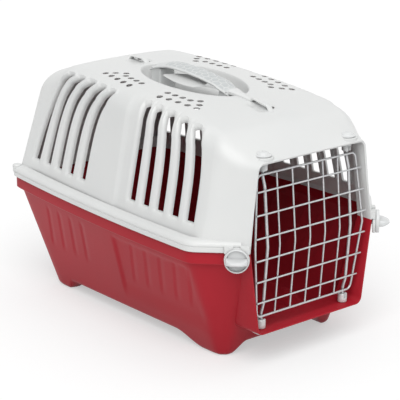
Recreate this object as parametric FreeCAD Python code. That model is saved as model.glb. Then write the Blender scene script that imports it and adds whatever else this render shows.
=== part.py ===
"""Two-shell pet carrier: red tray, pale lid with a carrying handle, and a wire door held by turning latches.

Millimetres. X is to the right as seen from the door, Y runs from the door to the rear, Z is up.
The origin is on the floor, at the middle of the carrier's length and width. The door faces -Y.
"""
import FreeCAD, Part
import math
import os

Vector = FreeCAD.Vector
UP = Vector(0, 0, 1)

# Overall size
LENGTH = 480.0
WIDTH = 315.0
HEIGHT = 330.0
HANDLE_OVER_ROOF = 11.0
ROOF_Z = HEIGHT - HANDLE_OVER_ROOF
PARTING_Z = 154.0
WALL = 3.0

# Where the door collar starts behind the foremost point, which is the tip of the corner knobs
COLLAR_SETBACK = 13.0
FRONT_Y = -LENGTH / 2 + COLLAR_SETBACK
REAR_Y = LENGTH / 2

# Plan of the rim: straight front, 45 degree front corners, bowed sides that narrow to the rear
RIM_FRONT_HALF = 105.0
RIM_STRAIGHT = 28.0
RIM_REAR_NARROWING = 23.5
RIM_REAR_CORNER = 14.0
CHAMFER_SHARE = math.sqrt(2) - 1

# Skirt of the lid and rim band of the tray
SKIRT_EDGE = 7.0
SKIRT_RISE = 14.0
SKIRT_OVERHANG = 10.0
BAND_HEIGHT = 16.0
BAND_INSET = 2.5
CUT_LAP = 0.5

# Tray walls and feet
TRAY_FLOOR_Z = 14.0
TRAY_TOP_INSET = 7.5
TRAY_FLOOR_HALF = 102.0
TRAY_FLOOR_FRONT_BACK = 53.0
TRAY_FLOOR_REAR_BACK = 42.0
TRAY_FLOOR_FRONT_HALF = 88.0
TRAY_TOP_FRONT_BACK = 9.0
TRAY_TOP_FRONT_HALF = 100.0
TRAY_FLOOR_NARROWING = 2.5
TRAY_FLOOR_CORNER = 18.0
FOOT_DRAFT = 5.5
FOOT_INNER_X = 58.0
FOOT_FRONT_LENGTH = 42.0
FOOT_FRONT_RAMP = 46.0
FOOT_REAR_LENGTH = 48.0
FOOT_REAR_RAMP = 22.0

# Collar round the doorway: a six-sided ring, widest at the parting plane
HOOD_DROP = 57.0
COLLAR_TOP_Z = ROOF_Z - HOOD_DROP
COLLAR_TOP_HALF = 90.0
COLLAR_SILL_Z = 44.0
COLLAR_SILL_HALF = 89.0
COLLAR_WALL = 2.5
COLLAR_CORNER = 10.0
COLLAR_LID_DEPTH = 24.0
COLLAR_SILL_DEPTH = 45.0
COLLAR_LIP = 0.8
COLLAR_LIP_DEPTH = 1.5

# Roof of the lid
LID_WALL_HALF = 147.5
LID_REAR_GAP = 5.5
LID_REAR_LEAN = 0.096
CROWN_SHARE = 0.45

# Vent slots in the long sides
SLOT_COUNT = 5
SLOT_WIDTH = 14.0
SLOT_FRONT_PITCH = 28.5
SLOT_REAR_PITCH = 30.8
SLOT_SILL = 30.0
SLOT_LOW_Z = PARTING_Z + SLOT_SILL
SLOT_TOP_DROP = 12.0
SLOT_INNER_X = 95.0
SLOT_FRONT_GROUP_Y = -101.0
SLOT_REAR_GROUP_Y = 133.5
SLOT_CONVERGENCE = 0.23
SLOT_REAR_REACH = 0.13

# Vent holes in the roof
HOLE_RADIUS = 3.6
HOLE_MIDDLE_Y = -8.0
HOLE_OUTER_COUNT = 5
HOLE_OUTER_X = 89.0
HOLE_OUTER_Y = 31.0
HOLE_OUTER_PITCH = 15.4
HOLE_OUTER_BOW = 2.2
HOLE_INNER_COUNT = 4
HOLE_INNER_X = 72.4
HOLE_INNER_Y = 26.5
HOLE_INNER_PITCH = 13.0
HOLE_INNER_BOW = 1.5
HOLE_END_X = 69.5
HOLE_END_Y = 85.2
HOLE_END_STEP = 10.0

# Hand well in the roof and the handle that bridges it
WELL_Y = 0.0
WELL_HALF_LENGTH = 90.0
WELL_HALF_WIDTH = 52.0
WELL_DEPTH = 27.0
WELL_FLOOR_Z = ROOF_Z - WELL_DEPTH
WELL_DRAFT = 10.0
HANDLE_WIDTH = 30.0
HANDLE_THICKNESS = 8.0
HANDLE_REAR_DROP = 12.0
HANDLE_REAR_Z = HEIGHT - HANDLE_REAR_DROP
HANDLE_FRONT_RISE = 18.0
HANDLE_FLARE = 3.0
HANDLE_POST = 16.0
HANDLE_END_GAP = 0.5

# Strap bars: low arches along the roof's middle line, with a gap under them for a shoulder strap
BAR_LENGTH = 40.0
BAR_WIDTH = 9.0
BAR_THICKNESS = 3.5
BAR_GAP = 6.6
BAR_FOOT = 6.0
BAR_FROM_FRONT = 96.0
BAR_FRONT_Y = FRONT_Y + BAR_FROM_FRONT
BAR_FROM_REAR = 124.0
BAR_REAR_Y = REAR_Y - BAR_FROM_REAR

# Seam between mouldings of the lid that are drawn as pieces of their own
SEAM = 0.03

# Wire door
DOOR_HEAD_GAP = 18.0
DOOR_TOP_Z = COLLAR_TOP_Z - DOOR_HEAD_GAP
DOOR_FOOT_GAP = 19.0
DOOR_BOTTOM_Z = COLLAR_SILL_Z + DOOR_FOOT_GAP
DOOR_TOP_HALF = 82.7
DOOR_MIDDLE_HALF = 91.4
DOOR_BOTTOM_HALF = 80.6
DOOR_SETBACK = 5.0
DOOR_BEND = 7.7
DOOR_BEND_RADIUS = 30.0
DOOR_CORNER = 7.0
FRAME_WIRE = 2.8
ROD_WIRE = 3.8
GRID_WIRE = 2.2
WELD_GAP = 0.03
UPRIGHT_COUNT = 5
UPRIGHT_PITCH = 25.6
RAIL_COUNT = 6
RAIL_END_SPACE = 19.75
RAIL_PITCH = (DOOR_TOP_Z - DOOR_BOTTOM_Z - 2 * RAIL_END_SPACE) / (RAIL_COUNT - 1)
RAIL_OVERSHOOT = 3.5
ROD_X = 70.7
ROD_JOG = 16.0
ROD_JOG_RADIUS = 12.0

# Turning latches that hold the rod ends
LATCH_JAW_RADIUS = 6.0
LATCH_JAW_HEIGHT = 11.0
LATCH_BORE_PLAY = 0.3
LATCH_ROD_GRIP = 9.0
LATCH_STEM_RADIUS = 4.0
LATCH_STEM_PLAY = 0.1
LATCH_BUTTON_RADIUS = 11.0
LATCH_BUTTON_HEIGHT = 5.0
LATCH_SEAT_GAP = 0.4
HOOD_BOSS_RADIUS = 13.5
HOOD_BOSS_RISE = 4.0

# Corner knobs, with a quarter-turn key in a keyhole of the lid's tab
KNOB_Z = 147.0
KNOB_ALONG = 71.4
KNOB_RADIUS = 15.0
KNOB_DISC = 4.0
KNOB_GRIP_HEIGHT = 14.0
KNOB_GRIP_WIDTH = 8.0
KNOB_GRIP_LENGTH = 26.0
KNOB_GRIP_ROUND = 4.5
KNOB_SHAFT_RADIUS = 4.0
KNOB_SHAFT_PLAY = 0.08
KNOB_SHAFT_DEPTH = 10.0
TAB_THICKNESS = 4.0
TAB_WIDTH = 31.0
TAB_GAP = 0.3
KEY_LENGTH = 19.0
KEY_WIDTH = 9.0
KEY_PLAY = 0.5

# Rear hooks: a tongue of the lid in a slot of the tray, inside a round boss on each rear corner
HOOK_RADIUS = 9.5
HOOK_FROM_SIDE = 33.5
HOOK_HEIGHT = 12.0
HOOK_TONGUE = 4.0
HOOK_TONGUE_WIDTH = 10.0
HOOK_TONGUE_DROP = 9.0
HOOK_PLAY = 0.6


def line(a, b):
    return Part.LineSegment(a, b).toShape()


def arc(a, b, c):
    return Part.Arc(a, b, c).toShape()


def plan_wire(z, half, front, rear, front_half, narrowing, corner):
    """Closed outline at height z: front line, 45 degree corners, bowed sides, rounded rear corners."""
    chamfer_y = front + half - front_half
    widest = chamfer_y + RIM_STRAIGHT
    side_end = rear - corner
    bow = narrowing / (side_end - widest) ** 2

    def side_x(y):
        return half - bow * max(y - widest, 0.0) ** 2

    middle_y = (widest + side_end) / 2
    rear_half = side_x(side_end)
    inner = rear_half - corner * 0.95
    swing = corner * (1 - math.sqrt(0.5))

    def corner_points(sign):
        return (Vector(sign * half, chamfer_y, z), Vector(sign * half, widest, z),
                Vector(sign * side_x(middle_y), middle_y, z), Vector(sign * rear_half, side_end, z),
                Vector(sign * (rear_half - 0.95 * swing), rear - swing, z), Vector(sign * inner, rear, z))

    right = corner_points(1)
    left = corner_points(-1)
    front_right = Vector(front_half, front, z)
    front_left = Vector(-front_half, front, z)
    edges = [line(front_left, front_right), line(front_right, right[0]), line(right[0], right[1]),
             arc(right[1], right[2], right[3]), arc(right[3], right[4], right[5]), line(right[5], left[5]),
             arc(left[5], left[4], left[3]), arc(left[3], left[2], left[1]), line(left[1], left[0]),
             line(left[0], front_left)]
    return Part.Wire(edges)


def rim_wire(z, inset):
    """The rim's outline, drawn in by inset all round."""
    return plan_wire(z, WIDTH / 2 - inset, FRONT_Y + inset, REAR_Y - inset,
                     RIM_FRONT_HALF - inset * CHAMFER_SHARE, RIM_REAR_NARROWING, RIM_REAR_CORNER)


def tray_wire(z, inset):
    """The tray wall's outline at height z, drawn in by inset; the walls lean in towards the floor."""
    top_z = PARTING_Z - BAND_HEIGHT
    share = (top_z - z) / (top_z - TRAY_FLOOR_Z)

    def between(top, floor):
        return top + (floor - top) * share

    half = between(WIDTH / 2 - TRAY_TOP_INSET, TRAY_FLOOR_HALF) - inset
    front = between(FRONT_Y + TRAY_TOP_FRONT_BACK, FRONT_Y + TRAY_FLOOR_FRONT_BACK) + inset
    rear = between(REAR_Y - TRAY_TOP_INSET, REAR_Y - TRAY_FLOOR_REAR_BACK) - inset
    front_half = between(TRAY_TOP_FRONT_HALF, TRAY_FLOOR_FRONT_HALF) - inset * CHAMFER_SHARE
    narrowing = between(RIM_REAR_NARROWING, TRAY_FLOOR_NARROWING)
    corner = between(RIM_REAR_CORNER, TRAY_FLOOR_CORNER) - inset / 2
    return plan_wire(z, half, front, rear, front_half, narrowing, corner)


def loft(wires):
    return Part.makeLoft(wires, True, True)


def box(x0, x1, y0, y1, z0, z1):
    return Part.makeBox(x1 - x0, y1 - y0, z1 - z0, Vector(x0, y0, z0))


def cylinder(radius, base, direction, length):
    return Part.makeCylinder(radius, length, base, direction)


def both_sides(shape):
    return [shape, shape.mirror(Vector(0, 0, 0), Vector(1, 0, 0))]


def collar_half(z):
    """Half width of the collar's outside at height z."""
    if z >= PARTING_Z:
        share = (z - PARTING_Z) / (COLLAR_TOP_Z - PARTING_Z)
        return RIM_FRONT_HALF + (COLLAR_TOP_HALF - RIM_FRONT_HALF) * share
    share = (PARTING_Z - z) / (PARTING_Z - COLLAR_SILL_Z)
    return RIM_FRONT_HALF + (COLLAR_SILL_HALF - RIM_FRONT_HALF) * share


def collar_prism(inset, edge_z, front, back):
    """Prism over half of the doorway's outline: from the parting plane to edge_z, drawn in by inset."""
    away = 1 if edge_z > PARTING_Z else -1
    far_z = edge_z - away * inset
    far_half = collar_half(edge_z) - inset
    near_half = RIM_FRONT_HALF - inset
    points = [Vector(-near_half, front, PARTING_Z), Vector(near_half, front, PARTING_Z),
              Vector(far_half, front, far_z), Vector(-far_half, front, far_z)]
    solid = Part.Face(Part.makePolygon(points + points[:1])).extrude(Vector(0, back - front, 0))
    corners = [e for e in solid.Edges
               if abs(e.CenterOfMass.z - far_z) < 0.01 and e.BoundBox.YLength > 1
               and e.BoundBox.XLength < 0.01]
    return solid.makeFillet(COLLAR_CORNER - inset, corners)


def arch_wire(y, half, shoulder_half, shoulder_z, crest_z, radius, lean, low_z):
    """Arch of the lid at y: leaning wall, round shoulder and roof, closed by a line at low_z.

    The arch leans forward by lean for each mm of its height.
    """
    foot = Vector(half, y, low_z)
    shoulder = Vector(shoulder_half, y, shoulder_z)
    crown = Vector(shoulder_half * CROWN_SHARE, y, crest_z)
    down = (foot - shoulder).normalize()
    inward = (crown - shoulder).normalize()
    half_angle = math.acos(down.dot(inward)) / 2
    reach = radius / math.tan(half_angle)
    start = shoulder + down * reach
    end = shoulder + inward * reach
    centre = shoulder + (down + inward).normalize() * (radius / math.sin(half_angle))
    points = [foot, foot + (start - foot) * 0.5, start]
    turn_a = start - centre
    turn_b = end - centre
    for step in (0.25, 0.5, 0.75):
        middle = (turn_a * (1 - step) + turn_b * step).normalize()
        points.append(centre + middle * radius)
    points.append(end)
    top = Vector(0, y, crest_z)
    for step in (0.35, 0.7):
        points.append(end * (1 - step) ** 2 + crown * (2 * step * (1 - step)) + top * step ** 2)
    points = [Vector(p.x, y - lean * (p.z - low_z), p.z) for p in points + [top]]
    mirrored = [Vector(-p.x, p.y, p.z) for p in reversed(points[:-1])]
    curve = Part.BSplineCurve()
    curve.interpolate(points + mirrored)
    return Part.Wire([curve.toShape(), line(Vector(-half, y, low_z), foot)])


def lid_sections():
    """Stations of the lid, front to rear: y, wall half, shoulder half, shoulder z, crest z, radius, lean."""
    front = FRONT_Y
    rear = REAR_Y - LID_REAR_GAP
    wall = LID_WALL_HALF
    roof = ROOF_Z
    hood = COLLAR_TOP_Z - COLLAR_LIP
    lean = LID_REAR_LEAN
    return [(front + COLLAR_LIP_DEPTH, RIM_FRONT_HALF - COLLAR_LIP, COLLAR_TOP_HALF - COLLAR_LIP, hood, hood,
             COLLAR_CORNER, 0.0),
            (front + 28, wall - 19.5, wall - 45.0, roof - 48.5, roof - 42.0, 24.0, 0.0),
            (front + 57, wall - 1.5, wall - 35.0, roof - 31.0, roof - 27.0, 24.0, 0.0),
            (front + 101, wall, wall - 32.5, roof - 19.5, roof - 17.0, 33.0, 0.0),
            (front + 151, wall, wall - 32.5, roof - 13.5, roof - 10.0, 37.0, 0.0),
            (front + 231, wall - 4.5, wall - 36.5, roof - 7.5, roof - 4.0, 34.0, 0.0),
            (rear - 138.5, wall - 12.0, wall - 44.5, roof - 1.5, roof - 1.0, 30.0, lean * 0.03),
            (rear - 78.5, wall - 18.5, wall - 49.0, roof - 3.0, roof - 0.5, 24.0, lean * 0.5),
            (rear - 38.5, wall - 21.7, wall - 54.5, roof - 15.5, roof - 9.5, 29.0, lean * 0.87),
            (rear - 21.5, wall - 22.3, wall - 55.7, roof - 20.0, roof - 14.0, 28.0, lean * 0.97),
            (rear - 10.5, wall - 22.6, wall - 56.5, roof - 28.5, roof - 19.5, 21.0, lean),
            (rear - 3.5, wall - 23.2, wall - 57.5, roof - 40.0, roof - 29.0, 16.0, lean),
            (rear, wall - 27.0, wall - 61.0, roof - 51.0, roof - 40.0, 14.0, lean)]


def lid_body(inset):
    """Solid under the lid's outer skin, or under its inner skin when inset is the wall."""
    wires = []
    sections = lid_sections()
    for index, (y, half, shoulder, shoulder_z, crest, radius, lean) in enumerate(sections):
        along = y
        if inset and index == 0:
            along = FRONT_Y - WALL
        if inset and index >= len(sections) - 5:
            along = y - inset
        wires.append(arch_wire(along, half - inset, shoulder - inset, shoulder_z - inset,
                               crest - inset, radius, lean, PARTING_Z - inset))
    return Part.makeLoft(wires, True, False)


def crest_at(y):
    """Height of the roof's middle line at y, between the lid's stations."""
    crests = []
    for place, _half, _shoulder, _shoulder_z, crest, _radius, lean in lid_sections():
        crests.append((place - lean * (crest - PARTING_Z), crest))
    for (y0, z0), (y1, z1) in zip(crests, crests[1:]):
        if y0 <= y <= y1:
            return z0 + (z1 - z0) * (y - y0) / (y1 - y0)
    return ROOF_Z


def corner_frame(sign):
    """Outward normal and forward tangent of a front corner, sign +1 right and -1 left."""
    root = math.sqrt(0.5)
    return Vector(sign * root, -root, 0), Vector(-sign * root, -root, 0)


def corner_block(sign, d0, d1, half_width, along, z0, z1):
    """Block on a front corner between distances d0 and d1 along its outward normal."""
    normal, forward = corner_frame(sign)
    block = Part.makeBox(d1 - d0, 2 * half_width, z1 - z0)
    rotation = FreeCAD.Rotation(normal, forward if sign < 0 else forward * -1, UP, "XZY")
    start = normal * d0 + forward * along + UP * z0
    start = start - rotation.multVec(Vector(0, 1, 0)) * half_width
    block.Placement = FreeCAD.Placement(start, rotation)
    return block


RIM_CORNER_D = (RIM_FRONT_HALF - FRONT_Y) * math.sqrt(0.5)
TAB_BACK_D = RIM_CORNER_D + TAB_GAP
TAB_FRONT_D = TAB_BACK_D + TAB_THICKNESS
KNOB_BACK_D = TAB_FRONT_D + TAB_GAP


def on_axis(sign, d, z=KNOB_Z):
    normal, forward = corner_frame(sign)
    return normal * d + forward * KNOB_ALONG + UP * z


def hook_boss(sign, z0, z1):
    """Round boss on a rear corner of the rim, flush with the rearmost edge."""
    base = Vector(sign * (WIDTH / 2 - HOOK_FROM_SIDE), REAR_Y - HOOK_RADIUS, z0)
    return cylinder(HOOK_RADIUS, base, UP, z1 - z0)


def hook_tongue(sign, play, z0, z1):
    """The tongue in a rear boss, or the slot for it when play is its clearance."""
    x = sign * (WIDTH / 2 - HOOK_FROM_SIDE)
    y = REAR_Y - HOOK_RADIUS
    wide = HOOK_TONGUE_WIDTH / 2 + play
    thick = HOOK_TONGUE / 2 + play
    return box(x - wide, x + wide, y - thick, y + thick, z0, z1)


def tray_collar():
    """Lower half of the doorway's ring; it deepens towards the sill, to meet the tray's leaning front."""
    back = FRONT_Y + COLLAR_SILL_DEPTH
    ring = collar_prism(0, COLLAR_SILL_Z, FRONT_Y, back)
    ring = ring.cut(collar_prism(COLLAR_WALL, COLLAR_SILL_Z, FRONT_Y - WALL, back + WALL))
    slant = [Vector(-WIDTH / 2, FRONT_Y + COLLAR_LID_DEPTH, PARTING_Z),
             Vector(-WIDTH / 2, back, COLLAR_SILL_Z), Vector(-WIDTH / 2, back + WALL, PARTING_Z)]
    return ring.cut(Part.Face(Part.makePolygon(slant + slant[:1])).extrude(Vector(WIDTH, 0, 0)))


def tray_feet():
    """Four corner feet, cut from a drafted plinth under the tray's floor."""
    plinth_low = tray_wire(TRAY_FLOOR_Z, FOOT_DRAFT)
    plinth_low.translate(UP * -TRAY_FLOOR_Z)
    plinth = loft([plinth_low, tray_wire(TRAY_FLOOR_Z, 0)])
    front = FRONT_Y + TRAY_FLOOR_FRONT_BACK
    rear = REAR_Y - TRAY_FLOOR_REAR_BACK
    feet = []
    for end_y, inward, length, ramp in ((front, 1, FOOT_FRONT_LENGTH, FOOT_FRONT_RAMP),
                                        (rear, -1, FOOT_REAR_LENGTH, FOOT_REAR_RAMP)):
        flat_end = end_y + inward * length
        x = FOOT_INNER_X
        side = [Vector(x, end_y - inward * WALL, 0), Vector(x, flat_end, 0),
                Vector(x, flat_end + inward * ramp, TRAY_FLOOR_Z),
                Vector(x, end_y - inward * WALL, TRAY_FLOOR_Z)]
        corner = Part.Face(Part.makePolygon(side + side[:1])).extrude(Vector(WIDTH / 2 - x, 0, 0))
        feet += [plinth.common(half) for half in both_sides(corner)]
    return feet


def make_tray():
    top_z = PARTING_Z - BAND_HEIGHT
    outside = loft([tray_wire(TRAY_FLOOR_Z, 0), tray_wire(top_z, 0)])
    band = loft([rim_wire(top_z, BAND_INSET), rim_wire(PARTING_Z, BAND_INSET)])
    bosses = []
    for sign in (-1, 1):
        bosses.append(corner_block(sign, RIM_CORNER_D - TRAY_TOP_INSET, RIM_CORNER_D, TAB_WIDTH / 2 - WALL,
                                   KNOB_ALONG, KNOB_Z - TAB_WIDTH / 2 + WALL, PARTING_Z))
        bosses.append(hook_boss(sign, PARTING_Z - HOOK_HEIGHT, PARTING_Z))
    ledge_z = top_z + WALL
    cavity = loft([tray_wire(TRAY_FLOOR_Z + WALL, WALL), tray_wire(ledge_z + CUT_LAP, WALL)])
    mouth = loft([rim_wire(ledge_z, TRAY_TOP_INSET), rim_wire(PARTING_Z + WALL, TRAY_TOP_INSET)])
    sill_back = FRONT_Y + COLLAR_SILL_DEPTH
    doorway = collar_prism(COLLAR_WALL, COLLAR_SILL_Z, FRONT_Y - WALL, sill_back + COLLAR_LID_DEPTH)
    hollow = outside.multiFuse([band] + tray_feet()).cut(Part.makeCompound([cavity, mouth, doorway]))
    shell = hollow.multiFuse([tray_collar()] + bosses)
    bores = []
    for sign in (-1, 1):
        normal = corner_frame(sign)[0]
        shaft_end = on_axis(sign, KNOB_BACK_D - KNOB_SHAFT_DEPTH)
        bores.append(cylinder(KNOB_SHAFT_RADIUS + KNOB_SHAFT_PLAY, shaft_end, normal, KNOB_SHAFT_DEPTH))
        bores.append(hook_tongue(sign, HOOK_PLAY, PARTING_Z - HOOK_HEIGHT - WALL, PARTING_Z + WALL))
        bores.append(cylinder(LATCH_STEM_RADIUS + LATCH_STEM_PLAY,
                              Vector(sign * ROD_X, ROD_Y, COLLAR_SILL_Z - WALL), UP, 2 * WALL))
    return shell.cut(Part.makeCompound(bores))


def slot_cutters():
    """Upright slots of both long sides; their upper ends lean towards the middle of the carrier."""
    cutters = []
    for group, pitch in ((SLOT_FRONT_GROUP_Y, SLOT_FRONT_PITCH), (SLOT_REAR_GROUP_Y, SLOT_REAR_PITCH)):
        for index in range(SLOT_COUNT):
            low_y = group + (index - (SLOT_COUNT - 1) / 2) * pitch
            high_y = low_y * (1 - SLOT_CONVERGENCE)
            high_z = crest_at(high_y) - SLOT_TOP_DROP
            half = SLOT_WIDTH / 2
            x = WIDTH / 2
            points = [Vector(x, low_y - half, SLOT_LOW_Z), Vector(x, low_y + half, SLOT_LOW_Z),
                      Vector(x, high_y + half, high_z), Vector(x, high_y - half, high_z)]
            face = Part.Face(Part.makePolygon(points + points[:1]))
            reach = SLOT_INNER_X - max(low_y, 0) * SLOT_REAR_REACH
            cutters += both_sides(face.extrude(Vector(reach - x, 0, 0)))
    return cutters


def hole_cutters():
    """Round holes beside the handle: an outer row, an inner row and an end pair, before and behind."""
    places = [(HOLE_OUTER_X - HOLE_OUTER_BOW * i, HOLE_OUTER_Y + HOLE_OUTER_PITCH * i)
              for i in range(HOLE_OUTER_COUNT)]
    places += [(HOLE_INNER_X - HOLE_INNER_BOW * i, HOLE_INNER_Y + HOLE_INNER_PITCH * i)
               for i in range(HOLE_INNER_COUNT)]
    places += [(HOLE_END_X - HOLE_END_STEP * i, HOLE_END_Y - HOLE_END_STEP * i) for i in range(2)]
    cutters = []
    for end in (-1, 1):
        for x, y in places:
            base = Vector(x, HOLE_MIDDLE_Y + end * y, PARTING_Z)
            cutters += both_sides(cylinder(HOLE_RADIUS, base, UP, HEIGHT - PARTING_Z))
    return cutters


def well_solid(grow, floor_z, top_z):
    """Oval tub: smaller at its floor, grown by grow all round."""
    wires = []
    for z, shrink in ((floor_z, WELL_DRAFT), (top_z, 0.0)):
        long = WELL_HALF_LENGTH + grow - shrink
        wide = WELL_HALF_WIDTH + grow - shrink
        oval = Part.Ellipse(Vector(0, WELL_Y + long, z), Vector(wide, WELL_Y, z), Vector(0, WELL_Y, z))
        wires.append(Part.Wire([oval.toShape()]))
    return loft(wires)


def make_strap_bar(y):
    """Low arch on the roof at y, with its feet on the roof's curve."""
    top_z = crest_at(y)
    half = BAR_LENGTH / 2
    slope = (crest_at(y + half) - crest_at(y - half)) / BAR_LENGTH
    gap_half = half - BAR_FOOT

    def at(along, rise):
        return Vector(-BAR_WIDTH / 2, y + along, top_z + slope * along + rise)

    high = BAR_GAP + BAR_THICKNESS
    deep = -2 * WALL
    outline = [at(-half, deep), at(-half, high - BAR_THICKNESS), at(-gap_half, high), at(gap_half, high),
               at(half, high - BAR_THICKNESS), at(half, deep), at(gap_half, deep), at(gap_half, BAR_GAP),
               at(-gap_half, BAR_GAP), at(-gap_half, deep)]
    arch = Part.Face(Part.makePolygon(outline + outline[:1])).extrude(Vector(BAR_WIDTH, 0, 0))
    bar = arch.cut(lid_body(0))
    bar.translate(UP * SEAM)
    return bar


def make_well():
    """Oval tub hung in the roof, round the hand's space under the handle."""
    tub = well_solid(WALL, WELL_FLOOR_Z - WALL, HEIGHT).common(lid_body(0))
    return tub.cut(well_solid(0, WELL_FLOOR_Z, HEIGHT))


def make_lid():
    outside = lid_body(0)
    edge_z = PARTING_Z + SKIRT_EDGE
    skirt = loft([rim_wire(PARTING_Z, 0), rim_wire(edge_z, 0)])
    shoulder = loft([rim_wire(edge_z, 0), rim_wire(PARTING_Z + SKIRT_RISE, SKIRT_OVERHANG)])
    raised = []
    for sign in (-1, 1):
        tab_back = on_axis(sign, TAB_BACK_D)
        raised.append(cylinder(TAB_WIDTH / 2, tab_back, corner_frame(sign)[0], TAB_THICKNESS))
        raised.append(corner_block(sign, RIM_CORNER_D - WALL, TAB_FRONT_D, TAB_WIDTH / 2, KNOB_ALONG,
                                   PARTING_Z, edge_z))
        raised.append(hook_boss(sign, PARTING_Z, PARTING_Z + SKIRT_RISE))
    shell = outside.multiFuse([skirt, shoulder] + raised)
    doorway = collar_prism(COLLAR_WALL, COLLAR_TOP_Z, FRONT_Y - WALL, FRONT_Y + COLLAR_LID_DEPTH)
    shell = shell.cut(Part.makeCompound([lid_body(WALL), doorway]))
    ring = collar_prism(0, COLLAR_TOP_Z, FRONT_Y, FRONT_Y + COLLAR_LID_DEPTH)
    ring = ring.cut(collar_prism(COLLAR_WALL, COLLAR_TOP_Z, FRONT_Y - WALL, FRONT_Y + 2 * COLLAR_LID_DEPTH))
    inner = [ring]
    hood_z = COLLAR_TOP_Z - COLLAR_WALL
    for sign in (-1, 1):
        centre = Vector(sign * ROD_X, ROD_Y, hood_z)
        inner.append(cylinder(HOOD_BOSS_RADIUS, centre, UP, HOOD_SEAT_Z - hood_z))
        inner.append(cylinder(HOOD_BOSS_RADIUS, centre, UP, HEIGHT - hood_z).common(outside))
    shell = shell.multiFuse(inner)
    cuts = [well_solid(WALL + SEAM, WELL_FLOOR_Z - WALL, HEIGHT)] + slot_cutters() + hole_cutters()
    key_room = KEY_LENGTH / 2 + KEY_PLAY
    for sign in (-1, 1):
        normal = corner_frame(sign)[0]
        cuts.append(cylinder(key_room, on_axis(sign, TAB_BACK_D), normal,
                             TAB_THICKNESS + CUT_LAP))
        cuts.append(corner_block(sign, TAB_BACK_D - TAB_GAP, TAB_FRONT_D + CUT_LAP,
                                 KEY_WIDTH / 2 + KEY_PLAY, KNOB_ALONG, KNOB_Z - TAB_WIDTH, KNOB_Z))
        seat = Vector(sign * ROD_X, ROD_Y, HOOD_SEAT_Z)
        cuts.append(cylinder(LATCH_BUTTON_RADIUS + LATCH_SEAT_GAP, seat, UP, HEIGHT - HOOD_SEAT_Z))
        cuts.append(cylinder(LATCH_STEM_RADIUS + LATCH_STEM_PLAY, seat, UP * -1, HOOD_SEAT_Z - hood_z + WALL))
    shell = shell.cut(Part.makeCompound(cuts))
    tongues = [hook_tongue(sign, 0, PARTING_Z - HOOK_TONGUE_DROP, edge_z) for sign in (-1, 1)]
    return shell.multiFuse(tongues)


def make_handle():
    """Arched grip strap with a rear post and a front root, both standing on the well's floor."""
    floor_wide = WELL_HALF_WIDTH - WELL_DRAFT
    chord = math.sqrt(1 - (HANDLE_WIDTH / 2 / floor_wide) ** 2)
    half_length = (WELL_HALF_LENGTH - WELL_DRAFT) * chord - HANDLE_END_GAP
    rear = WELL_Y + half_length
    front = WELL_Y - half_length
    front_top_z = WELL_FLOOR_Z + HANDLE_FRONT_RISE
    front_drop = math.sqrt(HEIGHT - front_top_z)
    rear_drop = math.sqrt(HEIGHT - HANDLE_REAR_Z)
    top_y = front + (rear - front) * front_drop / (front_drop + rear_drop)
    a = Vector(0, front, WELL_FLOOR_Z)
    b = Vector(0, front, front_top_z)
    crest = Vector(0, top_y, HEIGHT)
    c = Vector(0, rear, HANDLE_REAR_Z)
    d = Vector(0, rear, WELL_FLOOR_Z)
    e = Vector(0, rear - HANDLE_POST, WELL_FLOOR_Z)
    f = Vector(0, rear - HANDLE_POST, HANDLE_REAR_Z - HANDLE_THICKNESS + HANDLE_FLARE)
    under = Vector(0, top_y, HEIGHT - HANDLE_THICKNESS)
    g = Vector(0, front + HANDLE_POST, front_top_z - HANDLE_THICKNESS + 2 * HANDLE_FLARE)
    h = Vector(0, front + HANDLE_POST, WELL_FLOOR_Z)
    edges = [line(a, b), arc(b, crest, c), line(c, d), line(d, e), line(e, f), arc(f, under, g), line(g, h),
             line(h, a)]
    profile = Part.Face(Part.Wire(edges))
    profile.translate(Vector(-HANDLE_WIDTH / 2, 0, 0))
    return profile.extrude(Vector(HANDLE_WIDTH, 0, 0))


# The door's wires: uprights and the frame lie in one bent plane, rails in front of it, rods behind it
DOOR_MIDDLE_Z = (DOOR_TOP_Z + DOOR_BOTTOM_Z) / 2
DOOR_HALF_HEIGHT = (DOOR_TOP_Z - DOOR_BOTTOM_Z) / 2
GRID_PLANE_Y = FRONT_Y + DOOR_SETBACK
RAIL_BACK = (GRID_WIRE + FRAME_WIRE) / 2 + WELD_GAP
UPRIGHT_FORWARD = (FRAME_WIRE - GRID_WIRE) / 2
ROD_BACK = (ROD_WIRE - FRAME_WIRE) / 2
ROD_Y = GRID_PLANE_Y + DOOR_BEND + (FRAME_WIRE + ROD_WIRE) / 2 + WELD_GAP
HOOD_SEAT_Z = COLLAR_TOP_Z + HOOD_BOSS_RISE


def plane_y(z):
    """The frame wire's place along Y at height z, before the bend is rounded."""
    return GRID_PLANE_Y + DOOR_BEND * abs(z - DOOR_MIDDLE_Z) / DOOR_HALF_HEIGHT


def wire_half(z):
    """Half width of the door's frame wire at height z."""
    share = abs(z - DOOR_MIDDLE_Z) / DOOR_HALF_HEIGHT
    end = DOOR_TOP_HALF if z > DOOR_MIDDLE_Z else DOOR_BOTTOM_HALF
    return DOOR_MIDDLE_HALF + (end - DOOR_MIDDLE_HALF) * share


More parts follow.
